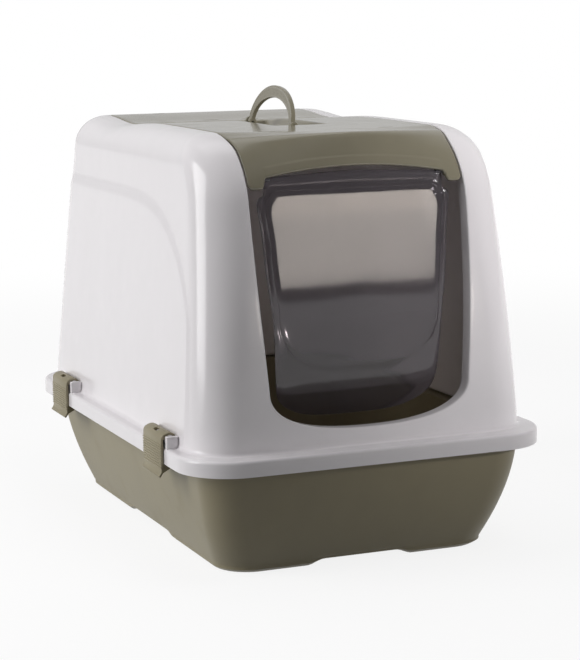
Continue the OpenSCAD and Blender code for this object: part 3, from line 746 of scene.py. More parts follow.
def hood_ledge(form, detail, shell, p, low_p, body):
    """Fillet at the foot of the walls, the ledge, and the skirt with its rounded edge, as rings."""
    places = np.concatenate([p[:-1], low_p[:-1]])
    z0 = form.ledge_z
    half, front, back, radius, _ = form.level(z0 + LEDGE_FILLET)
    rows = []
    nx, ny = ring_normal(places)
    for a in np.linspace(0, np.pi / 2, 7):
        out = LEDGE_FILLET * (1 - np.cos(a))
        z = z0 + LEDGE_FILLET * (1 - np.sin(a))
        x, y = ring(places, half + out, front - out, back + out, radius + out)
        push = relief(form, x, y, z0, detail.relief) * (places < 5)
        rows.append(points(x + push * nx, y + push * ny, np.full_like(x, z)))
    rows[0][: len(p) - 1] = body[0, :-1]
    inner = rows[-1]
    inset = SKIRT_ROUND
    hw, hl = form.width / 2, form.length / 2
    x, y = ring(places, hw - inset, inset - hl, hl - inset, SKIRT_RADIUS - inset)
    outer = points(x, y, np.full_like(x, z0))
    for s in np.linspace(0, 1, 6)[1:]:
        rows.append(inner * (1 - s) + outer * s)
    for a in np.linspace(0, np.pi / 2, 7)[1:]:
        d = SKIRT_ROUND * (1 - np.sin(a))
        x, y = ring(places, hw - d, d - hl, hl - d, SKIRT_RADIUS - d)
        rows.append(points(x, y, np.full_like(x, z0 - SKIRT_ROUND * (1 - np.cos(a)))))
    x, y = ring(places, hw, -hl, hl, SKIRT_RADIUS)
    for z in np.linspace(z0 - SKIRT_ROUND, form.skirt_z, 4)[1:]:
        rows.append(points(x, y, np.full_like(x, z)))
    shell.sheet(np.stack(rows), closed=True, flip=True)


def hood_fittings(form, shell):
    """Shelf round the top opening, cross bar under the seam, hinge bosses, and the blocks and
    beads on the ledge."""
    shelf_drop, shelf_in, wall = 0.0054, 0.0085, 0.0025
    front_y = float(form.front(form.height)) + 0.004
    rear_z = float(form.top(form.seam)) - shelf_drop
    section = rectangle(form.top_hw - shelf_in, -wall, form.top_hw + 0.0018, 0.0)
    # The shelf stops short of the lid's hinge, where the lugs swing
    for low, high in ((front_y, lid_pivot(form)[0] - PIN_BOSS - 0.005),
                      (form.seam + SEAM_GAP / 2 + 0.0004, form.top_back + 0.001)):
        y = np.linspace(low, high, 40)
        z = np.where(y > form.seam - 0.001, rear_z, form.top(y) - shelf_drop)
        for side in (1, -1):
            shell.loft(np.stack([points(side * section[:, 0], yy, section[:, 1] + zz) for yy, zz in zip(y, z)]))
    half = form.top_hw + 0.0018
    back = form.top_back
    shell.bar(rectangle(back - 0.006, rear_z - wall, back + 0.0018, rear_z), -half, half, 0)
    bar_y = form.seam + SEAM_GAP / 2 + 0.0005
    top = float(form.top(form.seam)) - wall - 0.0004
    shell.bar(rectangle(bar_y, rear_z - 0.006, bar_y + 0.004, top), -half, half, 0)
    shell.bar(rectangle(bar_y, rear_z - wall, bar_y + 0.009, rear_z), -half, half, 0)
    for y, z in (lid_pivot(form), cover_pivot(form)):
        for side in (1, -1):
            low, high = sorted((side * (form.top_hw + 0.001), side * (form.top_hw + 0.0075)))
            shell.bar(circle(PIN_BOSS), low, high, 0, at=(0, y, z))
    near = CLIP_LENGTH / 2 + 0.0005
    bead_x, bead_z = bead_place(form)
    block = rectangle(bead_x - 0.0065, form.ledge_z - 0.001, form.width / 2 - 0.001, bead_z + BLOCK_RISE,
                      0.0008)
    for side in (1, -1):
        for y in (-CLIP_Y, CLIP_Y):
            outline = block * np.array([side, 1])
            for towards in (1, -1):
                low, high = sorted((y + towards * near, y + towards * (near + BLOCK_LENGTH)))
                shell.bar(outline, low, high, 1, 0.0008)
            shell.bar(circle(BEAD_RADIUS), y - near - 0.001, y + near + 0.001, 1, at=(side * bead_x, 0, bead_z))


def bead_place(form):
    """Middle of the beads that the side clips turn on, on the ledge."""
    return form.width / 2 - BEAD_IN, form.ledge_z + BEAD_UP


def lid_pivot(form):
    """Lid's hinge line: 12.5 mm before its back edge and 6.4 mm below the top at the seam."""
    return form.seam - SEAM_GAP / 2 - 0.0125, float(form.top(form.seam)) - 0.0064


def cover_pivot(form):
    """Cover's hinge line: 4.5 mm before its back edge and 5.5 mm below the top there."""
    return form.cover_back - 0.0045, float(form.top(form.cover_back)) - 0.0055


def flap_pivot(form):
    """Flap's pins: 5.7 mm behind the hood's front and 9.5 mm above the header's tabs."""
    return float(form.front(form.tab_z + 0.010)) + 0.0057, form.tab_z + 0.0095


def build_hood(form, detail, material):
    """Hood: its walls and ledge as one sheet given a wall inwards, with the solid fittings added."""
    walls = Shell()
    p, low_p, body = hood_walls(form, detail, walls)
    hood_ledge(form, detail, walls, p, low_p, body)
    hood = walls.piece("hood_moulding")
    thicken(hood, form.wall)
    fittings = Shell()
    hood_fittings(form, fittings)
    extra = fittings.piece("hood_fittings")
    merge(hood, extra)
    return finished(hood, material, "box", "hood")


def merge(piece, extra):
    """Adds the extra object's mesh to the piece's."""
    for obj in (piece, extra):
        obj.data.materials.clear()
    with bpy.context.temp_override(active_object=piece, selected_editable_objects=[piece, extra]):
        bpy.ops.object.join()


def tray_inset(form, z, taper):
    """How far the tray's wall is drawn in at height z: a straight foot, then a curve of power 1.8."""
    t = np.clip((z - 0.010) / (form.tray_height - 0.014), 0.0, 1.0)
    curve = 0.0205 + (taper - 0.005 - 0.0205) * (1 - t) ** 1.8
    foot = taper - 0.0035 * smooth(z / 0.004) - 0.0015 * smooth((z - 0.0065) / 0.0035)
    return np.where(z < 0.010, foot, curve)


def build_tray(form, material):
    """Pan of the tray as rings from the recess under its floor, up its outside, over the rim and
    down its inside.  Its lower edge rises in flat-topped arches between the four feet."""
    turn = np.linspace(0, 1, 15)
    run, cross = np.linspace(0, 1, 90), np.linspace(0, 1, 60)
    p = np.concatenate([run, 1 + turn[1:], 2 + cross[1:], 3 + turn[1:], 4 + run[1:], 5 + turn[1:],
                        6 + cross[1:], 7 + turn[1:-1]])
    hw, hl, foot_r, wall = form.width / 2, form.length / 2, 0.036, 0.0025

    def wall_ring(z, inset=0.0):
        """Rounded rectangle at height z, drawn in by tray_inset() and inset."""
        dx, dy = tray_inset(form, z, 0.051) + inset, tray_inset(form, z, 0.055) + inset
        x, y = ring(p, hw - dx, dy - hl, hl - dy, np.maximum(foot_r - inset, 0.01))
        return points(x, y, np.full_like(x, z))

    def rim_ring(inset, z):
        """Rounded rectangle inset from the skirt's outline."""
        x, y = ring(p, hw - inset, inset - hl, hl - inset, SKIRT_RADIUS - inset)
        return points(x, y, np.full_like(x, z))

    def arch(q):
        """Rise of the lower edge: level between the feet, with a soft slope at each end."""
        along_side = np.abs(q[:, 0]) > hw - 0.058
        gap = np.where(along_side & (np.abs(q[:, 1]) < hl - 0.09),
                       0.073 - np.abs(q[:, 1]), 0.058 - np.abs(q[:, 0]))
        return 0.005 * smooth(gap / 0.018)

    under = 0.005
    heights = joined(0.0012, 0.0035, 0.006, 0.0075, 0.0095, 0.0105,
                     np.linspace(0.013, form.tray_height - 0.004, 34))
    outside = [wall_ring(0.0, 0.0012)] + [wall_ring(z) for z in heights]
    recess = [wall_ring(0.0, 0.009), wall_ring(0.0, 0.0085)]
    recess[0][:, 2] = under
    for row in (recess[1], *outside):
        rise = arch(row)
        row[:, 2] = np.where(row[:, 2] < 0.010, rise + row[:, 2] * (0.010 - rise) / 0.010, row[:, 2])
    rim_in, flange = 0.0205, 0.0025 + 0.001
    top, low = form.tray_height, form.skirt_z + 0.0006
    over = [rim_ring(rim_in, top - wall), rim_ring(flange + wall, top - wall), rim_ring(flange + wall, low),
            rim_ring(flange, low), rim_ring(flange, top - 0.0018), rim_ring(flange + 0.0006, top - 0.0006),
            rim_ring(flange + 0.0018, top), rim_ring(rim_in + wall - 0.0016, top),
            rim_ring(rim_in + wall - 0.0004, top - 0.0008)]
    inside = [wall_ring(z, wall) for z in heights[::-1] if 0.013 < z < top - 0.006]
    floor = under + wall
    sag = [(0.0005, 0.0125), (0.002, 0.0098), (0.0045, 0.0081), (0.0075, floor)]
    inside += [wall_ring(0.0105, wall + d) + np.array([0, 0, z - 0.0105]) for d, z in sag]
    shell = Shell()
    shell.loft(np.stack([*recess, *outside, *over, *inside]))
    return finished(shell.piece("tray_moulding"), material, "box", "tray", 40)


def dish(x, y):
    """Depth of the shallow dish round the handle."""
    return (DISH_DEPTH * smooth((DISH_HALF_WIDTH + 0.006 - np.abs(x)) / 0.006)
            * smooth((DISH_HALF_LENGTH + 0.008 - np.abs(y)) / 0.008))


def header_arc(form, x):
    """Lower edge of the header between its tabs: a shallow parabola with rounded ends."""
    half = form.lid_hw - HEADER_IN - TAB
    end = 0.003
    over = np.clip((np.abs(x) - half + end) / end, 0, 1)
    return form.tab_z + 0.020 - 0.009 * np.clip(np.abs(x) / half, 0, 1) ** 2 - end * (1 - np.sqrt(1 - over**2))


def slot_cutter(name, places, length, width, low, high):
    """Closed round-ended bars that stand where slots are wanted."""
    shell = Shell()
    a = np.linspace(-np.pi / 2, np.pi / 2, 9)
    cap = np.stack([length / 2 - width / 2 + width / 2 * np.cos(a), width / 2 * np.sin(a)], axis=-1)
    outline = np.concatenate([cap, -cap])
    for x, y in places:
        shell.bar(outline, low, high, 2, 0.0, at=(x, y, 0), steps=1)
    return shell.piece(name)


def build_lid(form, detail, material):
    """Lift-up lid: lines run from the seam along the top, past the dish, round the bowed crest and
    down the header, which follows the hood's front and ends in an arc between two tabs."""
    edge = detail.edge
    hw = form.lid_hw - edge
    arc_hw = form.lid_hw - HEADER_IN - TAB + edge
    scale = 1 - HEADER_IN / form.lid_hw
    step = DISH_HALF_WIDTH + 0.006
    arc_x = arc_hw / scale
    near_tab = arc_x - np.array([0.0044, 0.0036, 0.0028, 0.002, 0.0013, 0.0007, 0.0003, 0.0])
    half_x = joined(0.0, np.linspace(0, DISH_HALF_WIDTH, 9), np.linspace(DISH_HALF_WIDTH, step, 9),
                    np.linspace(step, near_tab[0], 22), near_tab, np.linspace(arc_x, hw, 9))
    x = np.concatenate([-half_x[::-1][:-1], half_x])
    back = form.seam - SEAM_GAP / 2 - edge
    far = DISH_HALF_LENGTH + 0.008
    crest, crest_z = form.crest(x), form.crest_z(x)
    fixed = -joined(np.linspace(-back, -far, 6), np.linspace(-far, -DISH_HALF_LENGTH, 9),
                    np.linspace(-DISH_HALF_LENGTH, DISH_HALF_LENGTH, 26), np.linspace(DISH_HALF_LENGTH, far, 9))

    def placed(xx, yy, zz, near=1.0):
        """Draws the header in at its sides, over the height in which the opening narrows."""
        return points(xx * (1 - HEADER_IN / form.lid_hw * near * smooth((form.height - zz) / FLARE)), yy, zz)

    def on_top(yy):
        """Row of the top panel, drawn down to the crest over the last NOSE of its length."""
        near = smooth((crest + NOSE - yy) / NOSE)
        return placed(x, yy, form.top(yy) - dish(x, yy) - CREST_FALL * form.to_side(x) * near, near)

    turn = 0.0045
    to_crest = np.linspace(0, 1, 26)[1:, None]
    flat = on_top(np.concatenate([np.broadcast_to(fixed[:, None], (len(fixed), len(x))),
                                  -far + (crest + turn + far) * to_crest]))
    t = np.linspace(0, 1, 9)[1:, None, None]
    below = crest_z - turn
    corner, after = placed(x, crest, crest_z), placed(x, form.header(x, below), below)
    curve = (1 - t) ** 2 * flat[-1] + 2 * t * (1 - t) * corner + t * t * after
    low = header_arc(form, x * scale) + edge
    share = np.linspace(0, 1, 34)[1:, None]
    fall_z = below + (low - below) * share
    band = 0.0007 * smooth((0.0085 - fall_z + low) / 0.0015) * smooth((arc_x - 0.002 - np.abs(x)) / 0.006)
    fall = placed(x, form.header(x, fall_z) - band, fall_z)
    main = np.concatenate([flat, curve, fall])
    shell = Shell()
    shell.sheet(main)
    tabs = []
    for pick in (x >= arc_x - 1e-6, x <= -arc_x + 1e-6):
        tx = x[pick]
        end = 0.003
        over = np.clip((np.abs(np.abs(tx) - (arc_x + hw) / 2) - (hw - arc_x) / 2 + end) / end, 0, 1)
        foot = form.tab_z + edge + 0.0008 + end * (1 - np.sqrt(1 - over**2))
        tz = low[pick] + (foot - low[pick]) * np.linspace(0, 1, 10)[:, None]
        tab = placed(tx, form.header(tx, tz), tz)
        shell.sheet(tab)
        tabs.append(tab)
    right, left = tabs
    centre = np.abs(x) < arc_x - 1e-6
    loop = [main[0, ::-1], main[1:, 0], left[1:, 0], left[-1, 1:], left[::-1, -1][1:],
            main[-1, centre], right[:, 0], right[-1, 1:], right[::-1, -1][1:], main[::-1, -1][1:-1]]
    inner = [main[1, ::-1], main[1:, 1], left[1:, 1], left[-2, 1:], left[::-1, -2][1:],
             main[-2, centre], right[:, 1], right[-2, 1:], right[::-1, -2][1:], main[::-1, -2][1:-1]]
    loop, inner = np.concatenate(loop), np.concatenate(inner)
    high_up = smooth((loop[:, 2] - form.height + 0.012) / 0.006)
    depth = 0.0010 + 0.0018 * high_up * (np.abs(loop[:, 1] - back) > 0.004)
    shell.sheet(rim(loop, inner, edge, depth), closed=True)
    lid = shell.piece("lid_moulding")
    thicken(lid, form.wall)
    slot_x, slot_y = 0.0595, float(form.crest(0.0595)) + 0.034
    cut(lid, slot_cutter("lid_slots", [(slot_x, slot_y), (-slot_x, slot_y)], 0.017, 0.003,
                         form.height - 0.012, form.height + 0.012))
    fittings = Shell()
    pivot_y, pivot_z = lid_pivot(form)
    hinge_lugs(form, fittings, pivot_y, pivot_z)
    flap_y, flap_z = flap_pivot(form)
    boss_x = form.lid_hw - HEADER_IN - TAB + 0.0015
    front = float(form.header(boss_x + 0.0065, flap_z + PIN + PIN_SLEEVE)) + 0.0015
    handle_z = float(form.top(0.0)) - HANDLE_DROP
    for side in (1, -1):
        ends = sorted((side * boss_x, side * (boss_x + 0.0065)))
        fittings.bar(circle(PIN + PIN_SLEEVE), *ends, 0, at=(0, flap_y, flap_z))
        fittings.bar(rectangle(front, flap_z - PIN - 0.002, flap_y, flap_z + PIN + 0.002), *ends, 0)
        ends = sorted((side * HANDLE_EAR, side * (HANDLE_EAR + HANDLE_EAR_THICK)))
        fittings.bar(circle(PIN + PIN_SLEEVE), *ends, 1, 0.0008, at=(0, 0, handle_z))
        foot = handle_z - DISH_DEPTH + 0.0015
        fittings.bar(rectangle(-0.0047, foot, 0.0047, handle_z, 0.0008), *ends, 1, 0.0008)
    merge(lid, fittings.piece("lid_fittings"))
    return finished(lid, material, "lid", "front_lid", 38)


def hinge_lugs(form, shell, y, z):
    """Lug under each rear corner of a panel, and the pin that turns in the hood's boss."""
    radius = PIN_BOSS - 0.0006
    for side in (1, -1):
        low, high = sorted((side * (form.top_hw - 0.0038), side * (form.top_hw - 0.0016)))
        shell.bar(circle(radius), low, high, 0, at=(0, y, z))
        shell.bar(rectangle(y - radius, z, y + radius, float(form.top(y)) - 0.0015), low, high, 0)
        low, high = sorted((side * (form.top_hw - 0.002), side * (form.top_hw + 0.006)))
        shell.bar(circle(PIN), low, high, 0, at=(0, y, z))


def build_cover(form, detail, material):
    """Rear cover: the top's own form between the seam and the back, its edges turned down."""
    edge = detail.edge
    hw = form.lid_hw - edge
    x = np.linspace(-hw, hw, 60)
    y = np.linspace(form.seam + SEAM_GAP / 2 + edge, form.cover_back - edge, 34)[:, None]
    sheet = points(x, y, form.top(y) + 0.0 * x)
    shell = Shell()
    shell.sheet(sheet, flip=True)
    loop = np.concatenate([sheet[0, :-1], sheet[:-1, -1], sheet[-1, ::-1][:-1], sheet[::-1, 0][:-1]])
    inner = np.concatenate([sheet[1, :-1], sheet[:-1, -2], sheet[-2, ::-1][:-1], sheet[::-1, 1][:-1]])
    corners = np.cumsum([0, len(x) - 1, len(y) - 1, len(x) - 1])
    inner[corners] = [sheet[1, 1], sheet[1, -2], sheet[-2, -2], sheet[-2, 1]]
    shell.sheet(rim(loop, inner, edge, 0.0006), closed=True, flip=True)
    cover = shell.piece("cover_moulding")
    thicken(cover, form.wall)
    low, high = form.height - 0.02, form.height + 0.01
    front, back = form.seam + SEAM_GAP / 2 + 0.013, form.cover_back - 0.006
    cut(cover, slot_cutter("front_slots", [(0.024, front), (-0.024, front)], 0.020, 0.003, low, high))
    cut(cover, slot_cutter("back_slots", [(0.061, back), (-0.061, back)], 0.014, 0.003, low, high))
    fittings = Shell()
    hinge_lugs(form, fittings, *cover_pivot(form))
    merge(cover, fittings.piece("cover_fittings"))
    return finished(cover, material, "cover", "filter_cover", 38)


def polar(outline, centre, angles):
    """Where rays from the centre meet a closed outline that each ray meets once."""
    d = outline - centre
    a = np.unwrap(np.arctan2(d[:, 1], d[:, 0]))
    r = np.hypot(d[:, 0], d[:, 1])
    if a[-1] < a[0]:
        a, r = a[::-1], r[::-1]
    lap = 2 * np.pi
    a3, r3 = np.concatenate([a - lap, a, a + lap]), np.concatenate([r, r, r])
    reach = np.interp(a[0] + (angles - a[0]) % lap, a3, r3)
    return centre + np.stack([reach * np.cos(angles), reach * np.sin(angles)], axis=-1)


def bezier(a, b, c, count):
    """Quadratic curve from a to c that leaves and arrives along the lines to b."""
    t = np.linspace(0, 1, count)[:, None]
    return (1 - t) ** 2 * np.array(a) + 2 * t * (1 - t) * np.array(b) + t * t * np.array(c)


def mirrored(half):
    """A closed outline from its right half, drawn from the top middle down to the bottom middle."""
    return np.concatenate([half, (half * np.array([-1, 1]))[::-1][1:-1]])


# Flap: slope of its front face at falls below the pins, and its outline at heights above the floor
FLAP_FALLS = np.array([0.0, 0.022, 0.105, 0.125, 0.150, 0.190, 0.212, 0.250])
FLAP_SLOPES = np.array([0.055, 0.088, 0.091, 0.071, -0.048, -0.120, -0.341, -0.690])
FLAP_SIDES = ((0.0965, 0.3880), (0.0965, 0.3725), (0.0980, 0.3715), (0.1025, 0.3700), (0.1042, 0.3650),
              (0.1036, 0.3590), (0.1015, 0.3440), (0.0998, 0.3290), (0.0987, 0.3090), (0.0970, 0.2890),
              (0.0946, 0.2690), (0.0929, 0.2590), (0.0910, 0.2390), (0.0897, 0.2080), (0.0885, 0.1900),
              (0.0870, 0.1770), (0.0830, 0.1670), (0.0750, 0.1600), (0.0660, 0.1550), (0.0560, 0.1510),
              (0.0450, 0.1485), (0.0250, 0.1470), (0.0, 0.1468))
FLAP_CROWN = ((0.0, 0.3936), (0.012, 0.3935), (0.045, 0.3920), (0.070, 0.3908), (0.0925, 0.3896))


def flap_bow(z, pivot_z):
    """How far the flap's front stands before its top: the slopes added up down the fall."""
    falls = np.linspace(-0.01, FLAP_FALLS[-1], 1041)
    slopes = np.interp(falls, FLAP_FALLS, FLAP_SLOPES)
    total = np.concatenate([[0.0], np.cumsum((slopes[1:] + slopes[:-1]) / 2 * np.diff(falls))])
    return np.interp(pivot_z - z, falls, total - np.interp(0.0, falls, total))


def softened(line, times=2):
    """A line of points with its corners cut, each time at a quarter and three quarters of its steps."""
    for _ in range(times):
        cuts = np.stack([0.75 * line[:-1] + 0.25 * line[1:], 0.25 * line[:-1] + 0.75 * line[1:]], axis=1)
        line = np.concatenate([line[:1], cuts.reshape(-1, line.shape[1]), line[-1:]])
    return line


def build_flap(form, detail, material):
    """Smoked flap: closed outlines carried from the middle of the raised panel's face over its
    sloping border to the edge, and back behind, all laid on the bowed sheet of flap_bow()."""
    py, pz = flap_pivot(form)
    neck = FLAP_SIDES[0][0]
    sides = np.array(FLAP_SIDES)

    def side(z):
        """Half width of the flap at height z, averaged over 12 mm."""
        near = [np.interp(z + d, sides[::-1, 1], sides[::-1, 0]) for d in np.linspace(-0.006, 0.006, 7)]
        return np.mean(near, axis=0)

    def panel():
        """Outline of the raised panel, from its crown round its shoulder and flank to its toe."""
        crown = np.stack([np.linspace(0, 0.084, 20), np.full(20, 0.3765)], axis=-1)
        shoulder = bezier(crown[-1], (0.0912, 0.3765), (0.0922, 0.3705), 8)[1:]
        zs = np.linspace(0.3685, 0.262, 22)
        flank = np.stack([np.minimum(side(zs) - 0.0072, 0.0958), zs], axis=-1)
        heel = bezier(flank[-1] + np.array([0, -0.004]), (0.087, 0.203), (0.030, 0.1985), 24)
        toe = np.stack([np.linspace(0.026, 0, 8), np.full(8, 0.1983)], axis=-1)
        return mirrored(np.concatenate([crown, shoulder, flank, heel, toe]))

    centre = np.array([0.0, 0.285])
    whole, raised = mirrored(softened(np.concatenate([FLAP_CROWN, sides]))), panel()
    own = whole - centre
    even = np.linspace(-np.pi, np.pi, 260, endpoint=False)
    angles = joined(even, np.arctan2(own[:, 1], own[:, 0]))
    whole, raised = polar(whole, centre, angles), polar(raised, centre, angles)

    def laid(flat, out):
        """Points of the drawing laid on the bowed sheet, moved out along its normal."""
        z = flat[:, 1]
        bow = flap_bow(z, pz)
        slope = (flap_bow(z - 0.0005, pz) - bow) / 0.0005
        normal = unit(points(0.0, -1.0, slope))
        return points(flat[:, 0], py - 0.002 - bow, z) + normal * out

    def between(s):
        """Outline a share of the way from the panel's to the flap's."""
        return raised * (1 - s) + whole * s

    def shrunk(s):
        """The panel's outline drawn towards its middle."""
        return centre + (raised - centre) * s

    thick, high = 0.002, detail.panel
    field = [0.02, 0.12, 0.24, 0.36, 0.48, 0.6, 0.72, 0.84, 0.93, 0.985]
    rows = [laid(shrunk(s), high) for s in field]
    rows += [laid(shrunk(0.997), high - 0.0001), laid(raised, high - 0.0006), laid(between(0.16), 0.0002),
             laid(between(0.3), 0.0), laid(between(0.72), -0.0001), laid(between(0.9), -0.0004),
             laid(whole, -0.0010), laid(whole, -0.0016), laid(between(0.9), -0.0020),
             laid(between(0.3), -thick), laid(between(0.16), 0.0002 - thick),
             laid(raised, high - thick - 0.0006)]
    rows += [laid(shrunk(s), high - thick) for s in field[::-1]]
    shell = Shell()
    shell.loft(np.stack(rows))
    for s in (1, -1):
        low_x, high_x = sorted((s * (neck - 0.007), s * (neck + 0.0074)))
        shell.bar(circle(PIN), low_x, high_x, 0, at=(0, py, pz))
    return finished(shell.piece("flap_moulding"), material, "flap", "flap", 28)


def build_handle(form, material):
    """Bail handle: a rounded band carried along a half ellipse in the plane of the lid's length,
    wider at its crown, with a raised line along its outer edge, leaned to the right."""
    span, rise, leg, crown, thick = 0.060, 0.041, 0.008, 0.013, 0.005
    lean = math.radians(10)
    pivot_z = float(form.top(0.0)) - HANDLE_DROP
    t = np.linspace(0, np.pi, 90)
    outer = np.stack([span * np.cos(t), rise * np.sin(t)], axis=-1)
    inner = np.stack([(span - leg) * np.cos(t), (rise - crown) * np.sin(t)], axis=-1)
    across = np.array([0.0, 0.02, 0.1, 0.5, 0.76, 0.80, 0.84, 0.94, 0.99, 1.0])
    half = thick / 2 * np.array([0.55, 0.8, 0.92, 0.90, 0.88, 0.93, 1.0, 1.0, 0.85, 0.6])
    u = np.concatenate([across, across[::-1]])
    x = np.concatenate([half, -half[::-1]])
    foot = np.array([0.0, -0.0015])
    rows = []
    for a, b in zip(inner, outer):
        q = a + (b - a) * u[:, None]
        rows.append(points(x, q[:, 0], q[:, 1]))
    first, last = rows[0] + np.array([0, *foot]), rows[-1] + np.array([0, *foot])
    shell = Shell()
    shell.loft(np.stack([first, *rows, last]))
    for s in (1, -1):
        low, high = sorted((s * (span - leg), s * span))
        shell.bar(circle(0.0038), low, high, 1, 0.0006)
        low, high = sorted((s * (span - 0.002), s * (HANDLE_EAR + HANDLE_EAR_THICK)))
        shell.bar(circle(PIN), low, high, 1)
    handle = shell.piece("handle_moulding")
    handle.data.transform(Matrix.Translation((0, 0, pivot_z)) @ Matrix.Rotation(lean, 4, "Y"))
    return finished(handle, material, "handle", "handle", 38)


def clip_outline(form, detail):
    """Outline of a right-hand clip: a curl round the bead, a ribbed plate, a flared lip and a hook."""
    bead_x, bead_z = bead_place(form)
    bore = BEAD_RADIUS + 0.00008
    curl = bore + CLIP_WALL
    x1 = form.width / 2 + CLIP_GAP
    x2 = x1 + CLIP_WALL
    lip, hook, hook_in = form.skirt_z - 0.0135, form.skirt_z - 0.0012, 0.0075
    start = math.radians(220)
    a = np.linspace(start, np.pi / 2, 20)
    over = np.stack([bead_x + curl * np.cos(a), bead_z + curl * np.sin(a)], axis=-1)
    a = np.linspace(np.pi / 2, 0, 12)[1:]
    down = np.stack([bead_x + (x2 - bead_x) * np.cos(a), bead_z + curl * np.sin(a)], axis=-1)
    ribs = []
    for k in range(RIB_COUNT):
        z = bead_z - RIB_DROP - RIB_PITCH * k
        ribs += [(x2, z), (x2 + 0.7 * detail.rib, z - 0.0003), (x2 + detail.rib, z - 0.0007),
                 (x2 + detail.rib, z - 0.0012), (x2 + 0.7 * detail.rib, z - 0.0016), (x2, z - 0.0019)]
    tail = bezier((x2, lip + 0.007), (x2 + 0.0004, lip + 0.004), (x2 + 0.0026, lip + 0.0018), 6)
    tip = bezier((x2 + 0.0026, lip + 0.0018), (x2 + 0.0028, lip), (x2 + 0.0012, lip + 0.0002), 4)[1:]
    back = [(x1 + 0.0004, lip + 0.0045), (x1 - hook_in, hook - 0.0035), (x1 - hook_in, hook), (x1, hook),
            (x1, bead_z)]
    a = np.linspace(0, start, 26)
    bore_line = np.stack([bead_x + bore * np.cos(a), bead_z + bore * np.sin(a)], axis=-1)
    return np.concatenate([over, down, ribs, tail, tip, back, bore_line]), (bead_x, bead_z, curl)


def build_clips(form, detail, material):
    """Four side clips: the outline carried along the box's length, ends rounded, and a sight slot."""
    outline, (bead_x, bead_z, curl) = clip_outline(form, detail)
    for node, body, side, y in (("clip_front_left", "clip_fl", -1, -CLIP_Y),
                                ("clip_front_right", "clip_fr", 1, -CLIP_Y),
                                ("clip_rear_left", "clip_rl", -1, CLIP_Y),
                                ("clip_rear_right", "clip_rr", 1, CLIP_Y)):
        shell = Shell()
        shell.bar(outline * np.array([side, 1]), y - CLIP_LENGTH / 2, y + CLIP_LENGTH / 2, 1, 0.00035)
        clip = shell.piece(node + "_moulding")
        hole = Shell()
        hole.bar(rectangle(-SIGHT_HALF_WIDTH, -SIGHT_HALF_LENGTH, SIGHT_HALF_WIDTH, SIGHT_HALF_LENGTH, 0.0019),
                 0.002, 3 * curl, 2, 0.0, steps=1)
        cutter = hole.piece("sight_slot")
        cutter.data.transform(Matrix.Translation((side * bead_x, y, bead_z))
                              @ Matrix.Rotation(side * math.radians(90 - SIGHT_ANGLE), 4, "Y"))
        cut(clip, cutter)
        finished(clip, material, body, node, 30)


def build_filter(material):
    """Odour filter: a pad whose edges are pinched to a seam and whose faces crown."""
    low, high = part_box("charcoal_filter")
    half, mid = (high - low) / 2, (high + low) / 2
    turn = np.linspace(0, 1, 9)
    along, across = np.linspace(0, 1, 24), np.linspace(0, 1, 44)
    p = np.concatenate([along, 1 + turn[1:], 2 + across[1:], 3 + turn[1:],
                        4 + along[1:], 5 + turn[1:], 6 + across[1:], 7 + turn[1:-1]])
    rows = []
    for s in np.linspace(-1, 1, 23):
        swell = (1 - abs(s) ** 2.6) ** 0.5 if abs(s) < 1 else 0.0
        seam = 0.0012 * math.exp(-((s / 0.12) ** 2))
        inset = 0.0006 + 0.006 * (1 - swell) + 0.0012 - seam
        x, y = ring(p, half.x - inset, -half.y + inset, half.y - inset, 0.006)
        rows.append(points(x, y, np.full_like(x, s * half.z * 0.94)))
    for end in (rows[0], rows[-1]):
        sign = 1 if end is rows[-1] else -1
        extra = []
        for k in (0.97, 0.9, 0.75, 0.5, 0.2):
            flat = end * np.array([k, k, 1.0])
            flat[:, 2] = end[:, 2] + sign * half.z * 0.05 * (1 - k**2)
            extra.append(flat)
        rows = rows + extra if sign > 0 else extra[::-1] + rows
    shell = Shell()
    shell.loft(np.stack(rows) + np.array(mid))
    pad = finished(shell.piece("filter_pad"), material, "box", "charcoal_filter", 60)
    return pad


# ---------- Studio ----------

# Photograph's frame and the camera fitted to it
FRAME_LONG_SIDE, FOCAL_PIXELS, SENSOR = 660, 2042.3, 36.0
VIEW_AZIMUTH, VIEW_ELEVATION, VIEW_ROLL = -22.613, 9.178, -0.657
VIEW_DISTANCE, AIM_RIGHT, AIM_UP, AIM_HEIGHT = 2.24093, 0.01776, 0.01213, 0.190


def camera_at_photo():
    """Camera at the photograph's angle, turned about the aim point and rolled."""
    a, e, r = (math.radians(v) for v in (VIEW_AZIMUTH, VIEW_ELEVATION, VIEW_ROLL))
    back = Vector((math.sin(a) * math.cos(e), -math.cos(a) * math.cos(e), math.sin(e)))
    right = (-back).cross(Vector((0, 0, 1))).normalized()
    up = right.cross(-back)
    right, up = right * math.cos(r) + up * math.sin(r), up * math.cos(r) - right * math.sin(r)
    data = bpy.data.cameras.new("camera")
    data.sensor_width = SENSOR
    data.lens = FOCAL_PIXELS * SENSOR / FRAME_LONG_SIDE
    camera = bpy.data.objects.new("camera", data)
    bpy.context.scene.collection.objects.link(camera)
    place = right * AIM_RIGHT + up * AIM_UP + Vector((0, 0, AIM_HEIGHT)) + back * VIEW_DISTANCE
    camera.matrix_world = Matrix.Translation(place) @ Matrix((right, up, back)).transposed().to_4x4()
    bpy.context.scene.camera = camera


def light(kind, name, place, towards, energy, tint, shown=False):
    """Lamp at a place, turned towards a direction; only shown ones are mirrored in the object."""
    data = bpy.data.lights.new(name, kind)
    data.energy = energy
    data.color = tint
    obj = bpy.data.objects.new(name, data)
    bpy.context.scene.collection.objects.link(obj)
    obj.location = place
    obj.rotation_mode = "QUATERNION"
    obj.rotation_quaternion = (-Vector(towards)).to_track_quat("Z", "Y")
    obj.visible_camera = False
    obj.visible_glossy = shown
    return data


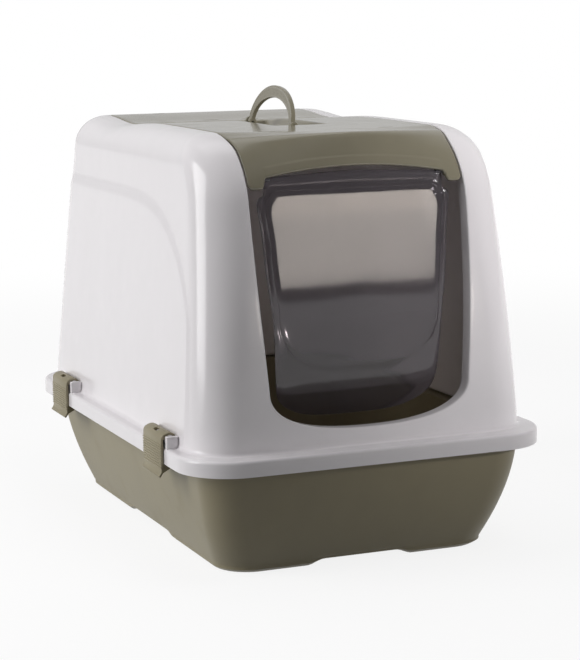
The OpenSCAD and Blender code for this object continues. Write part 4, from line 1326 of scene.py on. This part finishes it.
def lamp(name, azimuth, elevation, distance, size, level, shown=True, aim=(0, 0, 0.25)):
    """Soft rectangular lamp aimed at the box.  level is the share of full daylight it gives there."""
    a, e = math.radians(azimuth), math.radians(elevation)
    away = Vector((math.sin(a) * math.cos(e), -math.cos(a) * math.cos(e), math.sin(e)))
    energy = level * math.pi**2 * distance**2
    data = light("AREA", name, Vector(aim) + away * distance, -away, energy, (1, 1, 1), shown)
    data.shape = "RECTANGLE"
    data.size, data.size_y = size


def spot_lamp(name, place, aim, half_angle, level, tint):
    """Round lamp whose light fades evenly from its middle to half_angle, in degrees."""
    towards = Vector(aim) - Vector(place)
    data = light("SPOT", name, place, towards, level * 4 * math.pi**2 * towards.length_squared, tint)
    data.spot_size = math.radians(2 * half_angle)
    data.spot_blend = 1.0
    data.shadow_soft_size = 0.12


def card(name, low, high, brightness, tint):
    """Upright bright card across the front of the studio between two corners, which the flap mirrors."""
    wide, tall = high[0] - low[0], high[2] - low[2]
    middle = (Vector(low) + Vector(high)) / 2
    data = light("AREA", name, middle, (0, 1, 0), brightness * math.pi * wide * tall, tint, True)
    data.shape = "RECTANGLE"
    data.size, data.size_y = wide, tall
    bpy.data.objects[name].visible_diffuse = False


def build_stage():
    """White floor and backdrop, lamps and the camera."""
    scene = bpy.context.scene
    scene.view_settings.view_transform = "Standard"
    shell = Shell()
    span = np.linspace(-30, 30, 3)
    shell.sheet(points(span, span[:, None], np.full((3, 3), -0.0003)))
    floor = shell.piece("floor")
    material = bpy.data.materials.new("floor_white")
    g = Graph(material)
    rays = [g.node("ShaderNodeLightPath", output=f"Is {kind} Ray")
            for kind in ("Camera", "Glossy", "Transmission")]
    seen = rays[0].math("MAXIMUM", rays[0], rays[1])
    seen = seen.math("MAXIMUM", seen, rays[2])
    pale = g.mixed(seen, (0.22, 0.22, 0.22), (1.0, 1.0, 1.0))
    plain = g.node("ShaderNodeBsdfDiffuse", {}, {"Color": pale})
    glow = g.node("ShaderNodeEmission", {}, {"Color": (1, 1, 1), "Strength": 1.0})
    away = g.node("ShaderNodeVectorMath", {"operation": "LENGTH"}, {0: g.place()}, output="Value")
    share = seen * (g.steps(away, 0.9, 2.2) * 0.14 + 0.86)
    g.surface(g.node("ShaderNodeMixShader", {}, {0: share, 1: plain, 2: glow}))
    floor.data.materials.append(material)

    world = bpy.data.worlds.new("studio")
    scene.world = world
    g = Graph(world)
    split = g.node("ShaderNodeSeparateXYZ", {}, {0: g.node("ShaderNodeTexCoord", output="Generated")}, output=1)
    behind = g.steps(split, -0.25, 0.65)
    level = behind * 0.52 + 0.10
    seen = g.node("ShaderNodeLightPath", output="Is Camera Ray")
    strength = g.node("ShaderNodeMix", {"data_type": "FLOAT"}, {0: seen, 2: level, 3: 1.0}, output=0)
    sky = g.node("ShaderNodeBackground", {}, {"Color": (1, 1, 1), "Strength": strength})
    g.node("ShaderNodeOutputWorld", {}, {"Surface": sky})

    inside = light("POINT", "inside", (0.02, 0.03, 0.19), (0, 0, -1), 0.070, (1.0, 0.92, 0.86))
    inside.shadow_soft_size = 0.0
    lamp("key", -97, 20, 2.6, (1.3, 2.2), 0.66)
    lamp("fill", 30, 62, 2.6, (1.4, 1.0), 0.20, False)
    lamp("top", 170, 72, 2.4, (1.6, 1.2), 0.08)
    spot_lamp("right", (1.1, -1.7, 0.75), (0.30, -0.25, 0.40), 13, 0.82, (1.0, 0.98, 0.98))
    card_y = -2.006
    card("card", (0.615, card_y, 0.335), (0.990, card_y, 0.500), 5.2, (1.0, 0.93, 0.84))
    card("card_top", (0.615, card_y + 0.01, 0.468), (0.990, card_y + 0.01, 0.492), 3.2, (1.0, 0.85, 0.72))
    card("card_right", (0.958, card_y + 0.02, 0.420), (0.982, card_y + 0.02, 0.492), 5.0, (1.0, 0.93, 0.86))
    camera_at_photo()


# ---------- The add-on ----------


def made(name):
    """The slot's own finish, made on first use: the frame's plain material has the slot's bare name."""
    maker = {"white_plastic": white_plastic, "taupe_plastic": taupe_plastic, "taupe_gloss": taupe_gloss,
             "smoked_clear": smoked_clear, "filter_felt": filter_felt}[name]
    return bpy.data.materials.get(name + FINISH) or maker(bpy.context.scene.litter_colours)


def settings(context):
    return Form(context.scene.litter_sizes), context.scene.litter_details


class LITTER_OT_hood(Operator):
    """Builds the white hood with its ledge, skirt and opening"""

    bl_idname = "litter.hood"
    bl_label = "Hood"

    def execute(self, context):
        form, detail = settings(context)
        build_hood(form, detail, made("white_plastic"))
        return {"FINISHED"}


class LITTER_OT_tray(Operator):
    """Builds the taupe tray"""

    bl_idname = "litter.tray"
    bl_label = "Tray"

    def execute(self, context):
        form, _ = settings(context)
        build_tray(form, made("taupe_plastic"))
        return {"FINISHED"}


class LITTER_OT_panels(Operator):
    """Builds the lift-up lid and the filter cover"""

    bl_idname = "litter.panels"
    bl_label = "Lid and cover"

    def execute(self, context):
        form, detail = settings(context)
        build_lid(form, detail, made("taupe_gloss"))
        build_cover(form, detail, made("taupe_gloss"))
        return {"FINISHED"}


class LITTER_OT_flap(Operator):
    """Builds the smoked swing flap"""

    bl_idname = "litter.flap"
    bl_label = "Flap"

    def execute(self, context):
        form, detail = settings(context)
        build_flap(form, detail, made("smoked_clear"))
        return {"FINISHED"}


class LITTER_OT_handle(Operator):
    """Builds the bail handle"""

    bl_idname = "litter.handle"
    bl_label = "Handle"

    def execute(self, context):
        form, _ = settings(context)
        build_handle(form, made("taupe_gloss"))
        return {"FINISHED"}


class LITTER_OT_clips(Operator):
    """Builds the four side clips"""

    bl_idname = "litter.clips"
    bl_label = "Side clips"

    def execute(self, context):
        form, detail = settings(context)
        build_clips(form, detail, made("taupe_plastic"))
        return {"FINISHED"}


class LITTER_OT_filter(Operator):
    """Builds the odour filter pad and finishes the grate that carries it"""

    bl_idname = "litter.filter"
    bl_label = "Filter"

    def execute(self, context):
        build_filter(made("filter_felt"))
        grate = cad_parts["filter_grate"]
        grate.data.materials.clear()
        grate.data.materials.append(made("white_plastic"))
        return {"FINISHED"}


class LITTER_OT_stage(Operator):
    """Sets up the white floor, the lamps and the camera"""

    bl_idname = "litter.stage"
    bl_label = "Stage"

    def execute(self, context):
        build_stage()
        return {"FINISHED"}


OPERATORS = (LITTER_OT_hood, LITTER_OT_tray, LITTER_OT_panels, LITTER_OT_flap, LITTER_OT_handle,
             LITTER_OT_clips, LITTER_OT_filter, LITTER_OT_stage)


class LITTER_PT_panel(Panel):
    """Lists the pieces"""

    bl_label = "Litter Box"
    bl_idname = "LITTER_PT_panel"
    bl_space_type = "VIEW_3D"
    bl_region_type = "UI"
    bl_category = "Litter Box"

    def draw(self, context):
        layout = self.layout
        for group in (context.scene.litter_sizes, context.scene.litter_details, context.scene.litter_colours):
            for name in group.__annotations__:
                layout.prop(group, name)
        for operator in OPERATORS:
            layout.operator(operator.bl_idname)


CLASSES = (BoxSizes, DetailSizes, Colours, *OPERATORS, LITTER_PT_panel)


def register():
    for cls in CLASSES:
        bpy.utils.register_class(cls)
    bpy.types.Scene.litter_sizes = PointerProperty(type=BoxSizes)
    bpy.types.Scene.litter_details = PointerProperty(type=DetailSizes)
    bpy.types.Scene.litter_colours = PointerProperty(type=Colours)


def unregister():
    del bpy.types.Scene.litter_sizes, bpy.types.Scene.litter_details, bpy.types.Scene.litter_colours
    for cls in reversed(CLASSES):
        bpy.utils.unregister_class(cls)


def main():
    register()
    for operator in OPERATORS:
        group, name = operator.bl_idname.split(".")
        getattr(getattr(bpy.ops, group), name)()
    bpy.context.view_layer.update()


if __name__ == "__main__":
    main()
